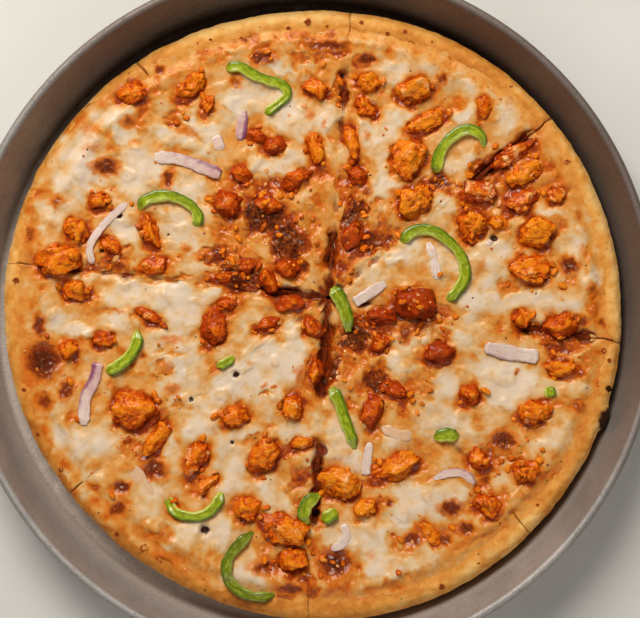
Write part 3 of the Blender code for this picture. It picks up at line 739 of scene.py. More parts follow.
# what shows where: middle x and y, half width, half height, strength, and the turn in degrees if there is one
creamAndGlintPatches = (
    (-120, 80, 15.5, 19.6, 0.9), (-99, 102, 15.5, 6.2, 0.8, 20), (-94, 92, 6.2, 4.6, 1),
    (-87, 72, 12.4, 13.9, 0.9), (-61, 64, 12.4, 6.7, 1), (-128, 51, 13.4, 8.3, 0.9),
    (-94, 41, 10.3, 11.4, 0.9), (-67, 41, 13.4, 10.3, 0.8), (-58, 25, 10.3, 5.7, 0.5),
    (-110, 66, 6.7, 4.1, 1), (-66, 90, 14.4, 5.7, 0.9, -10), (-50, 101, 12.9, 10.3, 0.8),
    (-31, 112, 16.5, 9.3, 1), (-8, 103, 18.6, 10.3, 0.9, -20), (-19, 78, 16.5, 6.7, 0.9, 15),
    (-12, 127, 8.3, 3.1, 0.9), (-4, 122, 5.2, 4.1, 0.7), (12, 100, 5.7, 10.3, 0.6),
    (39, 94, 12.4, 17.5, 0.9, -20), (37, 124, 7.7, 5.2, 0.8), (41, 68, 10.8, 9.3, 0.9),
    (90, 120, 21.7, 11.4, 0.6, -40), (104, 103, 12.4, 9.8, 0.7), (72, 102, 12.4, 3.1, 1, 15),
    (45, 111, 5.2, 4.1, 0.9), (46, 89, 4.6, 4.6, 1), (79, 75, 9.3, 7.2, 0.4), (28, 98, 4.6, 3.1, 0.9),
    (92, 27, 21.7, 16.5, 0.8), (107, 6, 28.4, 7.7, 0.7, -5), (131, 36, 12.9, 5.7, 0.9),
    (88, 7, 13.4, 7.7, 0.5), (100, 49, 6.2, 5.2, 0.9), (123, 51, 6.2, 3.1, 0.9),
    (131, 3, 10.3, 4.1, 1, -15), (147, 24, 5.2, 12.4, 0.6), (67, 24, 5.7, 12.4, 0.6),
    (45, 33, 11.4, 6.7, 1), (31, 20, 9.3, 6.2, 0.7), (71, 59, 8.3, 5.7, 0.7), (99, -35, 25.8, 13.4, 1, -10),
    (77, -16, 12.4, 5.7, 0.8), (58, -11, 7.2, 6.2, 1), (43, -18, 7.7, 9.3, 0.8, -60),
    (64, -36, 18.6, 12.4, 0.9, -30), (69, -54, 15.5, 9.3, 0.8), (131, -60, 8.8, 12.4, 0.35, 30),
    (99, -80, 10.3, 7.2, 0.3), (112, -95, 14.4, 8.8, 0.35), (120, -65, 10.3, 9.3, 0.35),
    (84, -65, 10.3, 4.6, 0.7), (43, -65, 12.9, 6.2, 0.5), (68, -97, 16.5, 9.8, 0.8),
    (49, -101, 11.4, 6.7, 1), (32, -116, 15.5, 9.8, 0.8), (42, -130, 15.5, 5.7, 0.9),
    (12, -114, 6.2, 5.2, 0.7), (25, -80, 5.7, 9.3, 0.8), (12, -65, 9.8, 12.9, 0.8),
    (54, -91, 10.3, 6.2, 0.8), (-19, -27, 22.7, 12.9, 1, 12), (-4, -8, 9.8, 4.1, 1),
    (-37, -37, 18.6, 7.2, 0.8), (-42, -62, 17.5, 12.4, 0.9), (-58, -58, 10.3, 7.7, 1),
    (-34, -83, 15.5, 10.3, 0.9), (-13, -96, 10.3, 10.3, 0.6), (-48, -111, 13.4, 10.3, 0.8),
    (-29, -136, 12.4, 8.8, 1), (-74, -114, 13.4, 5.2, 0.8, -20), (-81, -96, 7.7, 10.3, 0.5),
    (-10, -62, 13.4, 4.6, 0.9), (-66, -44, 10.8, 7.7, 0.7), (-72, -68, 5.2, 10.3, 0.7, -20),
    # (-113, 20): a painted highlight, a small white glint
    (1, -81, 4.6, 12.4, 0.5), (-75, 7, 28.9, 10.8, 1, -8), (-113, 20, 8.3, 2.6, 0.8),
    (-70, -19, 18.6, 12.4, 0.8), (-65, -36, 13.4, 7.2, 0.7), (-33, -4, 15.5, 7.2, 0.7),
    (-98, -5, 8.8, 6.2, 0.8), (-128, -3, 8.3, 7.7, 0.7), (-116, -65, 16.5, 9.8, 0.7),
    (-104, -54, 6.2, 6.2, 0.9), (-118, -9, 8.3, 3.6, 0.9), (-43, -16, 7.7, 6.2, 0.6),
    (17, 85, 4.1, 4.1, 0.6), (58, -119, 12.4, 5.2, 0.4, -20), (-53, 7, 10.3, 5.2, 0.8),
    (-23, -13, 6.2, 4.1, 0.5), (-48, -47, 10, 7, 0.9), (-4, -16, 8, 7, 0.9), (44, 123, 8, 6, 0.8),
    (99, 28, 12, 9, 0.9),
)
sauceAndShadowPatches = (
    (-68, 102, 7.7, 5.7, 0.8), (-75, 112, 5.2, 4.1, 0.5), (-23, 132, 11.4, 4.1, 0.7, -10),
    (6, 137, 15.5, 2.6, 0.9), (29, 131, 7.2, 4.1, 0.9), (18, 118, 4.1, 13.4, 0.8),
    (-31, 36, 20.6, 13.4, 0.5), (-31, 15, 17.5, 6.7, 1), (2, 41, 15.5, 19.6, 0.6), (18, 24, 9.3, 8.3, 0.9),
    # the patch at (69, 66) is painted shadow, dark between a pepper and a cut
    (19, 64, 4.6, 17.5, 0.7), (36, 53, 11.4, 7.2, 0.7), (69, 66, 9.3, 6.7, 0.9),
    (104, 70, 20.6, 12.4, 0.6, 25), (31, -9, 12.4, 6.7, 0.9), (25, -27, 12.9, 13.4, 0.6),
    (69, 0, 12.4, 6.2, 0.8), (132, -18, 16.5, 5.2, 0.9), (38, -45, 17.5, 9.8, 0.6),
    (10, -27, 3.1, 12.9, 0.9), (35, -65, 6.2, 9.3, 0.5), (90, -89, 8.3, 7.2, 0.7),
    (101, -105, 7.2, 6.7, 0.5), (14, -130, 13.4, 9.3, 0.8), (-7, -142, 10.3, 4.1, 0.9),
    (-16, -128, 10.3, 6.2, 0.6), (7, -142, 19.6, 4.6, 0.5), (-88, -68, 7.7, 6.2, 0.9),
    (-5, -92, 4.6, 15.5, 0.7), (-128, -86, 13.4, 4.6, 0.7, -45), (-98, 27, 11.4, 4.6, 0.7),
    (-50, 16, 7.2, 5.2, 0.8), (-129, -38, 14.4, 12.4, 0.4), (-107, -96, 15.5, 11.4, 0.4),
    (-58, -131, 17.5, 6.7, 0.5, -15), (-91, 126, 9.3, 5.2, 0.3), (-143, 39, 5.2, 12.4, 0.4),
    (-74, 19, 15.5, 2.6, 0.6), (-104, 55, 5.2, 4.1, 0.6), (-9, -106, 15.5, 4.1, 0.5),
    (-4, -119, 7.2, 5.2, 0.5), (61, -83, 10.3, 4.1, 0.5), (115, -49, 8.3, 5.2, 0.5),
    (50, 7, 10.3, 7.2, 0.6), (-19, 56, 12.9, 6.2, 0.5), (6, -3, 6.2, 7.2, 0.5), (27, 105, 7.2, 5.2, 0.4),
    (89, 107, 4.1, 7.2, 0.3), (-55, 113, 4.1, 6.2, 0.5), (9, 137, 15, 8, 0.9), (-63, 108, 7, 7, 0.6),
    # the patch at (68, 69) is painted shadow, dark between a pepper and a cut
    (-78, 119, 5, 6, 0.6), (68, 69, 9, 7, 1), (95, 77, 15, 9, 0.8, 25), (-23, 59, 15, 13, 0.9),
    (-10, 40, 13, 13, 1), (-35, 63, 9, 8, 0.7), (23, 53, 8, 13, 1), (36, 40, 13, 10, 0.8),
    (17, 29, 12, 9, 0.9), (-105, 27, 19, 6, 0.8, 8), (-36, 20, 15, 8, 1, 5), (-49, 32, 9, 5, 0.7, 20),
    (-8, 24, 11, 8, 0.8), (42, -5, 25, 9, 1), (63, -2, 13, 7, 0.8), (17, -14, 13, 11, 0.9),
    (11, -30, 7, 12, 0.9), (34, -32, 10, 9, 0.9), (28, -46, 13, 8, 0.6), (46, -46, 7, 6, 0.6),
    (131, -16, 12, 7, 1), (123, -8, 11, 6, 0.7), (-140, -35, 8, 13, 0.6), (-138, -13, 8, 6, 0.5),
    (-91, -68, 7, 6, 0.7), (-77, -78, 7, 6, 0.6), (-111, -100, 11, 8, 0.6, -45),
    (-97, -114, 13, 7, 0.6, -40), (-76, -129, 13, 7, 0.8, -30), (-53, -141, 12, 5, 0.7, -12),
    (-4, -84, 8, 8, 0.9), (2, -103, 8, 10, 0.9), (-1, -139, 9, 8, 0.9), (-20, -121, 10, 8, 0.6),
    (10, -128, 7, 7, 0.7), (21, -92, 7, 6, 0.6), (47, -116, 9, 6, 0.4), (100, -71, 10, 7, 0.7),
    (90, -95, 9, 6, 0.6), (76, -106, 8, 6, 0.4), (115, -60, 8, 7, 0.6), (-128, 13, 9, 4, 0.5),
    (145, -21, 5, 7, 0.6), (58, -42, 6, 6, 0.5), (-53, -80, 7, 6, 0.4), (58, 7, 8, 5, 0.7),
    (-23, 52, 14, 12, 1.3), (-34, 19, 13, 6, 1.3, 5), (-11, 38, 11, 11, 1.3), (24, 51, 8, 9, 1.25),
    (32, 38, 11, 8, 1.2), (24, -12, 12, 8, 1.3), (12, -28, 6, 10, 1.25), (34, -33, 8, 7, 1.2),
    # the patch at (68, 68) is painted shadow, dark between a pepper and a cut
    (68, 68, 8, 6, 1.25), (52, -2, 14, 6, 1.2), (98, 78, 12, 5, 1.2, 25), (-45, 30, 9, 5, 1.1, 20),
    (112, -78, 14, 10, 0.6), (100, -96, 12, 9, 0.6), (-60, -130, 16, 7, 0.6, -15), (58, -36, 9, 8, 0.7),
    (50, -118, 8, 5, 0.75), (-92, 119, 10, 7, 0.6), (-48, 134, 14, 4, 0.65, 8), (-8, 142, 14, 5, 0.65),
    (-38, 42, 18, 9, 0.7), (-80, -112, 14, 7, 0.6, -20), (-104, 63, 7, 6, 0.55), (-72, -18, 8, 3, 0.55),
    (-74, -27, 6, 4, 0.6), (-66, -46, 6, 4, 0.6), (-42, -50, 7, 3, 0.55, 30), (-22, -40, 5, 2, 0.7, 30),
    (-27, -65, 9, 4, 0.6, 20), (66, -8, 9, 4, 0.7), (-28, 141, 10, 4, 0.75, -12), (-5, 131, 9, 4, 0.7),
    (34, 112, 4, 6, 0.5), (135, 20, 6, 12, 0.55), (84, 120, 8, 3, 0.5, -30), (103, 13, 7, 4, 0.6, 10),
    (14, 95, 5, 14, 0.5), (-12, 66, 12, 5, 0.7), (126, -52, 12, 5, 0.5, 60),
)
bakedSpots = (
    (-76, 126, 2.6, 2.6, 0.8), (-92, 99, 4.6, 4.1, 0.6), (-104, 76, 7.2, 4.1, 0.9),
    (-102, 86, 3.6, 2.1, 0.4), (-129, 58, 4.6, 3.1, 0.6), (-72, 69, 3.1, 5.2, 0.8),
    (-62, 94, 8.3, 3.1, 0.4, -25), (-37, 119, 4.1, 3.1, 0.6), (-22, 132, 7.2, 3.1, 0.7),
    (9, 138, 12.9, 2.6, 0.8), (30, 131, 5.2, 3.1, 0.9), (18, 123, 2.6, 2.1, 1), (1, 103, 3.1, 3.1, 0.4),
    (8, 98, 2.6, 2.6, 0.4), (-17, 86, 6.2, 4.6, 0.5), (31, 92, 2.6, 3.1, 0.4), (30, 64, 3.6, 3.1, 0.6),
    (44, 63, 3.1, 2.1, 0.4), (69, 121, 3.6, 3.1, 0.7), (75, 133, 2.6, 2.1, 0.7), (78, 109, 4.1, 4.6, 0.4),
    (91, 108, 2.6, 6.2, 0.6), (134, 25, 4.6, 4.6, 1), (102, 14, 4.6, 3.1, 0.5), (115, 15, 6.2, 2.6, 0.3),
    (-63, 34, 3.1, 2.1, 0.5), (-54, 30, 4.6, 2.6, 0.6), (-98, 25, 5.2, 3.1, 0.7), (-100, 2, 5.2, 2.1, 0.4),
    (-70, -13, 7.2, 2.6, 0.4), (-72, -27, 4.1, 3.6, 0.4), (-85, -21, 1.5, 2.1, 0.6),
    (-90, -26, 1.5, 2.1, 0.5), (-70, -39, 4.1, 3.6, 0.5), (-138, -6, 3.1, 7.2, 0.8),
    (-136, -24, 9.3, 10.3, 1), (-124, -39, 4.6, 5.7, 0.8), (-135, -45, 4.6, 5.2, 0.7),
    (-143, 41, 4.1, 6.2, 0.6), (50, -10, 4.1, 6.2, 0.7), (-22, -37, 2.6, 1.5, 0.5),
    (-17, -38, 1.5, 1.5, 0.6), (108, -30, 1.5, 1.5, 0.6), (101, -65, 7.2, 5.7, 0.9),
    (74, -100, 6.7, 4.1, 0.9), (81, -110, 4.6, 3.6, 0.9), (70, -116, 4.1, 4.1, 0.7),
    (54, -116, 5.7, 4.1, 0.8), (-79, -80, 6.7, 5.2, 0.9), (-96, -89, 4.6, 3.6, 0.9),
    (-98, -100, 5.2, 4.1, 0.8), (-110, -89, 4.1, 2.6, 0.6, -30), (-74, -127, 7.7, 4.6, 0.6, -20),
    (-127, -86, 5.2, 2.6, 0.7, -45), (-22, -130, 8.3, 4.1, 0.7), (14, -128, 9.3, 7.2, 1),
    (-9, -141, 7.2, 3.1, 0.9), (42, -97, 2.1, 2.1, 0.8), (151, -35, 4.1, 2.6, 0.6),
    (138, -47, 3.1, 3.1, 0.6), (127, -83, 3.1, 2.6, 0.7), (151, -4, 2.6, 3.1, 0.7),
    (141, -4, 4.1, 3.1, 0.7), (46, -140, 6.2, 2.6, 0.5), (32, -142, 4.1, 2.6, 0.4),
    (115, 93, 7.2, 2.1, 0.4, 25), (110, 82, 4.1, 2.6, 0.5), (-35, 33, 8.3, 4.1, 0.4),
    (-41, 39, 10.3, 3.1, 0.3), (86, -36, 2.1, 3.6, 0.4), (89, 25, 2.6, 5.2, 0.3), (146, 13, 3.1, 4.1, 0.5),
    (146, 2, 3.1, 4.1, 0.4), (128, 69, 3.1, 5.2, 0.4), (141, 33, 3.1, 5.2, 0.3), (-92, 116, 6.2, 4.1, 0.4),
    (-104, 108, 5.2, 3.1, 0.3), (-112, 95, 7.2, 5.2, 0.3), (-110, 86, 6.2, 4.1, 0.3),
    (-128, 20, 3.1, 2.6, 0.4), (-4, -31, 3.1, 5.2, 0.5), (2, -29, 4.1, 9.3, 0.6), (-30, -25, 2.6, 2.6, 0.3),
    (-25, -85, 4.1, 2.6, 0.3), (-48, -60, 2.1, 3.1, 0.3), (58, -111, 6.2, 3.1, 0.5),
    (32, -124, 4.1, 3.1, 0.3), (-33, 141, 1.8, 1.8, 0.8), (-25, 132, 5.0, 3.6, 0.9),
    (-50, 135, 3.0, 2.0, 0.4), (-8, 144, 4.0, 2.0, 0.5), (-30, 126, 2.2, 1.6, 0.5),
    (-44, 130, 2.0, 2.0, 0.4),
)
cheesePits = (  # middle, width and depth of small holes, painted dark inside as shade
    (96, 39, 2.6, 2.4), (-53, -111, 3.6, 2.8), (-60, -44, 1.9, 1.2), (-37, -31, 2.6, 1.6), (-39, -66, 1.6, 1),
    (4, -103, 3.4, 2.4), (18, 123, 1.6, 1.4), (-106, 33, 2, 1.2), (-72, 41, 1, 0.8), (-97, 51, 2.6, 1.4),
)


def warped(xy, size, push, seed):
    across = flatNoise(xy, seed, size)
    along = flatNoise(xy, seed + 40.0, size)
    return xy + push * np.column_stack((across, along))


def ovalReach(xy, x, y, wide, tall, turn=0.0):  # 0 in the middle of an oval, 1 on its edge
    away = turned(xy - (x, y), -math.radians(turn))
    return np.hypot(away[:, 0] / wide, away[:, 1] / tall)


def patches(xy, rows, inner=0.5, outer=1.4):
    # the strongest of the soft oval patches
    found = np.zeros(len(xy))
    for x, y, wide, tall, strength, *turn in rows:
        q = ovalReach(xy, x, y, wide, tall, *turn)
        found = np.maximum(found, strength * (1.0 - soften(q, inner, outer)))
    return found


def chunkNearness(xy):
    # distance in mm outside the nearest piece of meat, less than 0 under it
    found = np.full(len(xy), 99.0)
    for x, y, length, width, turn in bigChunks + smallChunks:
        near = np.flatnonzero(np.hypot(xy[:, 0] - x, xy[:, 1] - y) < length / 2.0 + 14.0)
        q = ovalReach(xy[near], x, y, length / 2.0, width / 2.0, turn)
        found[near] = np.minimum(found[near], (q - 1.0) * (length + width) / 4.0)
    return found


def smoothTop(xy):
    # the cheese without its fine lumps, which the toppings lie on
    return cheeseBase(xy, *shareAt(xy))


def cheeseBase(xy, share, angle):
    grid = flat(xy) / pizza["reliefSize"]
    humps = noiseAt(grid, 1.0) + 0.4 * noiseAt(grid * 2.3 + np.array((7.0, 3.0, 0.0)), 1.0)
    humps *= pizza["relief"] * np.clip(0.2 + (0.93 - share) / 0.08, 0.0, 1.0)
    inner = stops(pizza["cheese"], share) + humps
    start, high = pizza["cheese"][-1]
    far = np.maximum(cheeseEnd(xy, angle) - start, 0.012)
    t = np.maximum(share - start, 0.0) / far
    bank = high - stops(pizza["dough"], start) - cheese["edgeThick"]
    bank = bank * (1.0 - soften(share, start, start + np.minimum(0.055, far)))
    skin = np.maximum(cheese["edgeThick"] * (1.0 - t ** 3), -0.9)
    outer = doughTop(xy, share, angle) + bank + skin + humps * (1.0 - soften(share, start, 0.93))
    return np.where(share < start, inner, outer)


def cheeseLook(xy, share, angle):
    # how warm in colour a point is, from white cheese to red sauce, with painted shadow in front of the meat,
    # and how baked
    bent = warped(warped(xy, 8.0, 5.0, 2.0), 3.0, 2.2, 11.0)
    aside = warped(xy, 4.0, 1.6, 17.0)
    near = chunkNearness(aside)
    cream = patches(bent, creamAndGlintPatches)
    sauce = patches(bent, sauceAndShadowPatches)
    bake = patches(warped(xy, 3.2, 1.8, 31.0), bakedSpots, 0.15, 1.75)
    halo = np.exp(-np.maximum(near, 0.0) / 2.8)
    # painted shadow: the cheese just in front of each piece of meat, where its shadow falls, is painted redder
    # and darker
    below = chunkNearness(aside + np.array((0.6, 2.6)))
    shaded = np.exp(-np.maximum(below, 0.0) / 1.5)
    broad, mid, fine = flatNoise(xy, 61.0, 15.0), flatNoise(xy, 62.0, 6.0), flatNoise(xy, 63.0, 2.4)
    hump = soften(flatNoise(xy, 81.0, 7.5), 0.12, 0.5)
    edge = soften(share - cheeseEnd(xy, angle), -0.075, -0.01)
    warm = 0.385 + 0.24 * broad + 0.17 * mid + 0.13 * fine
    warm += 0.22 * hump * (1.0 - 0.6 * cream) - 0.38 * cream * (1.0 - 0.4 * halo)
    warm = np.maximum(warm, 0.0)
    warm += 0.5 * halo * (0.75 + 0.7 * mid) + 0.22 * edge * (0.8 + 1.4 * mid)
    # painted shadow in front of the meat, and the baked spots
    warm += 0.4 * shaded * (0.8 + 0.8 * mid) + 0.45 * np.minimum(bake, 0.7)
    warm = np.maximum(warm, sauce * (0.98 + 0.55 * mid + 0.3 * fine))
    brown = edge * stops(pizza["edgeBrown"], np.degrees(angle) % 360.0)
    look = {"warm": np.clip(warm, 0.0, 1.15), "sauce": sauce, "bake": bake, "edge": brown, "hump": hump}
    return look, near


def cheeseSurface(xy, share, angle):
    # the cheese's top as it shows, with its sheets, humps and blisters, and its look
    look, near = cheeseLook(xy, share, angle)
    z = cheeseBase(xy, share, angle)
    spots = flat(xy, 51.0)
    soft = noiseAt(spots, 9.0)
    mid = noiseAt(spots, 4.4, 3.0)
    small = noiseAt(spots, 1.4, 5.0)
    ridge = 1.0 - 2.0 * np.abs(noiseAt(spots, 3.0, 9.0))
    busy = soften(look["warm"], 0.5, 0.95)
    lumps = 0.8 * soft + (0.3 + 0.45 * busy) * mid + 0.5 * busy * (ridge - 0.6) + (0.03 + 0.26 * busy) * small
    sheet = 1.0 * (1.0 - soften(look["warm"], 0.5, 0.8)) + 0.5 * (1.0 - soften(look["warm"], 0.1, 0.5)) - 0.6
    mound = 0.9 * np.exp(-((np.maximum(near, 0.0) / 2.4) ** 2)) * (0.5 + 0.9 * mid) + 0.7 * look["hump"]
    spot = look["bake"]
    blister = 0.7 * spot * (1.0 + 0.5 * small) - 0.45 * soften(spot, 0.5, 0.8) * (0.5 + ridge)
    thin = 1.0 - soften(share, 0.895, 0.935)
    z += (lumps + mound + sheet) * (0.15 + 0.85 * thin) + blister * (0.25 + 0.75 * thin)
    pit = np.zeros(len(xy))
    for x, y, wide, deep in cheesePits:
        q = np.hypot(xy[:, 0] - x, xy[:, 1] - y) / wide + 0.25 * small
        pit = np.maximum(pit, 1.0 - soften(q, 0.3, 1.0))
        z -= deep * (1.0 - soften(q, 0.35, 1.1))
    look["crest"] = np.clip(0.5 + 0.5 * lumps, 0.0, 1.0)
    look["pit"] = pit
    return z, look, thin


cheeseValues = ("warm", "sauce", "bake", "edge", "crest", "pit")


def makeCheese(k, material):
    first, last = sliceAngles(k)
    turns = np.linspace(0.0, 1.0, cheese["turnSteps"])
    ends = [
        end for angle, end in pizza["cheeseEnds"]
        if first - 0.2 < math.radians(angle) % (2.0 * math.pi) < last + 0.2
    ]
    outer = min(0.993, max(ends) + 0.02)
    shares = 0.006 + (outer - 0.006) * np.linspace(0.0, 1.0, cheese["rows"]) ** 0.86
    xy, share, angle = slicePlaces(k, shares, turns)
    distance, inward, openness, sway = seamPlaces(k, xy)
    distance = np.maximum(distance, 0.0)
    # torn edges draw back from an open cut and nearly meet over a closed one
    ragged = 0.8 + 1.3 * flatNoise(xy, 14.0, 4.0) + 0.6 * flatNoise(xy, 15.0, 1.9)
    pull = soften(openness, 0.3, 1.0) * 1.7 * np.clip(ragged, 0.0, 2.0) - 0.46 * (1.0 - openness)
    calm = soften(share, 0.0, 0.06) * (1.0 - soften(share, 0.9, 0.95))
    pull = np.where(pull > 0.0, pull * calm, pull * (1.0 - soften(share, 0.93, 0.97)))
    xy = xy + inward * ((pull + sway) * np.exp(-distance / 4.5))[:, None]
    z, look, thin = cheeseSurface(xy, share, angle)
    opened = soften(openness, 0.25, 0.9)
    drop = opened * 2.4 * np.exp(-((distance / 2.2) ** 2)) + 0.1 * np.exp(-((distance / 1.2) ** 2))
    z -= drop * (0.15 + 0.85 * thin) * (1.0 - soften(share, 0.93, 0.96))
    steps = len(turns)
    rows = len(shares)
    floor = stops(pizza["dough"], share) + pizza["gap"]
    floor = np.where(share > 0.89, np.minimum(floor, doughTop(xy, share, angle) - 1.6), floor)
    z = np.where(share < 0.9, np.maximum(z, floor + 0.6), z)
    top = np.column_stack((xy, z))
    values = {key: look[key] for key in cheeseValues}
    values["seam"] = np.exp(-distance / (0.6 + 2.0 * opened)) * (0.12 + 0.88 * opened) * thin
    values["deep"] = np.zeros(len(xy))
    # sides: from the edge of the top down to the dough
    loop = [(0, j) for j in range(steps - 1, 0, -1)] + [(i, 0) for i in range(rows - 1)]
    loop += [(rows - 1, j) for j in range(steps - 1)] + [(i, steps - 1) for i in range(rows - 1, 0, -1)]
    ring = np.array([i * steps + j for i, j in loop])
    plain, _, _ = slicePlaces(k, shares, turns)
    foot = np.column_stack((plain[ring], np.minimum(floor[ring], top[ring, 2] - 0.5)))
    outerRow = np.array([i == rows - 1 for i, j in loop])
    foot[outerRow, 2] = top[ring, 2][outerRow] - 0.5
    points = [top]
    skirt = cheese["skirtRows"]
    for step in range(1, skirt + 1):
        t = step / skirt
        level = top[ring] * (1.0 - t) + foot * t
        bulge = 0.3 * math.sin(math.pi * t) * noiseAt(level, 2.4, 7.0)
        level[:, :2] += inward[ring] * (np.abs(bulge) * ~outerRow)[:, None]
        points.append(level)
    count = len(ring)
    start = len(top)
    faces = gridFaces(rows, steps)
    for n in range(count):
        m = (n + 1) % count
        upper, upperNext = int(ring[n]), int(ring[m])
        for step in range(skirt):
            lower, lowerNext = start + step * count + n, start + step * count + m
            faces.append((upper, lower, lowerNext, upperNext))
            upper, upperNext = lower, lowerNext
    # underside: few rows, and each face on the rim takes in every point of the edge
    under = {}
    for n, place in enumerate(loop):
        under[place] = start + (skirt - 1) * count + n
    total = start + skirt * count
    rowStops = list(range(0, rows - 1, cheese["belowStep"])) + [rows - 1]
    turnStops = list(range(0, steps - 1, cheese["belowStep"])) + [steps - 1]
    inside = []
    for i in rowStops[1:-1]:
        for j in turnStops[1:-1]:
            under[(i, j)] = total + len(inside)
            inside.append((*plain[i * steps + j], floor[i * steps + j]))
    for i0, i1 in zip(rowStops, rowStops[1:]):
        for j0, j1 in zip(turnStops, turnStops[1:]):
            way = [(i, j0) for i in (range(i0, i1) if j0 == 0 else (i0,))]
            way += [(i1, j) for j in (range(j0, j1) if i1 == rows - 1 else (j0,))]
            way += [(i, j1) for i in (range(i1, i0, -1) if j1 == steps - 1 else (i1,))]
            way += [(i0, j) for j in (range(j1, j0, -1) if i0 == 0 else (j1,))]
            faces.append(tuple(under[place] for place in reversed(way)))
    points = np.vstack(points + [np.array(inside)])
    sides = np.repeat(np.arange(1, skirt + 1) / skirt, count)
    for key in values:
        tail = np.concatenate((np.tile(values[key][ring], skirt), np.zeros(len(inside))))
        values[key] = np.concatenate((values[key], tail))
    # deep: painted shade on the cheese's sides and underside
    values["deep"][len(top):len(top) + len(sides)] = sides
    values["deep"][len(top) + len(sides):] = 1.0
    newPiece(f"cheeseSlice{k + 1}", points, faces, material, values, f"cheese_{k + 1}")


def makeCutFilling(material):
    # sauce and cheese that have run into the cuts
    parts = []
    columns = 9
    for k, cut in enumerate(np.radians(pizza["cuts"])):
        ray = direction(cut)
        across = np.array((-ray[1], ray[0]))
        reach = float(reachFrom(crossing, np.array([cut]))[0])
        along = np.arange(1.0, 0.94 * reach, 0.8)
        offsets = np.linspace(-1.0, 1.0, columns)
        line = crossing + along[:, None] * ray + cutSway(along, cut)[:, None] * across
        opened = soften(cutOpenness(pizza["open"][k], along, cut), 0.25, 0.9)
        wide = 1.9 - 0.5 * opened + 0.8 * flatNoise(line, 73.0, 5.0)
        xy = (line[:, None] + across * (offsets[None, :] * wide[:, None])[..., None]).reshape(-1, 2)
        share = np.repeat(along / reach, columns)
        angle = np.full(len(xy), cut)
        each = np.repeat(opened, columns)
        z, look, _ = cheeseSurface(xy, share, angle)
        sunk = 0.03 + 2.95 * each - 0.35 * (1.0 - each) * flatNoise(xy, 71.0, 6.0)
        z -= sunk + (0.75 - 0.35 * each) * np.tile(offsets ** 4, len(along))
        z -= 0.6 * each * soften(share, 0.9, 0.94)
        z += each * (0.7 * flatNoise(xy, 76.0, 3.0) + 0.5 * flatNoise(xy, 77.0, 1.5))
        z -= 1.2 * soften(share - cheeseEnd(xy, angle), -0.03, 0.01)
        top = np.column_stack((xy, z))
        low = top.copy()
        low[:, 2] = np.minimum(stops(pizza["dough"], share) + 0.5, z - 0.5)
        count = len(top)
        faces = gridFaces(len(along), columns)
        faces += [tuple(reversed([c + count for c in face])) for face in faces]
        grid = np.arange(count).reshape(-1, columns)
        edge = [*grid[:, 0], *grid[-1, 1:], *grid[-2::-1, -1], *grid[0, -2:0:-1]]
        edge = [int(c) for c in edge]
        faces += [(b, a, a + count, b + count) for a, b in zip(edge, edge[1:] + edge[:1])]
        values = {key: look[key] for key in cheeseValues}
        values["seam"] = 0.1 + 0.9 * each
        # painted shade, deeper in the open cuts
        values["deep"] = 0.5 * each
        parts.append((np.vstack((top, low)), faces, {key: np.tile(values[key], 2) for key in values}))
    points, faces, values = joinMeshes(parts)
    newPiece("cheeseInCuts", points, faces, material, values, None)


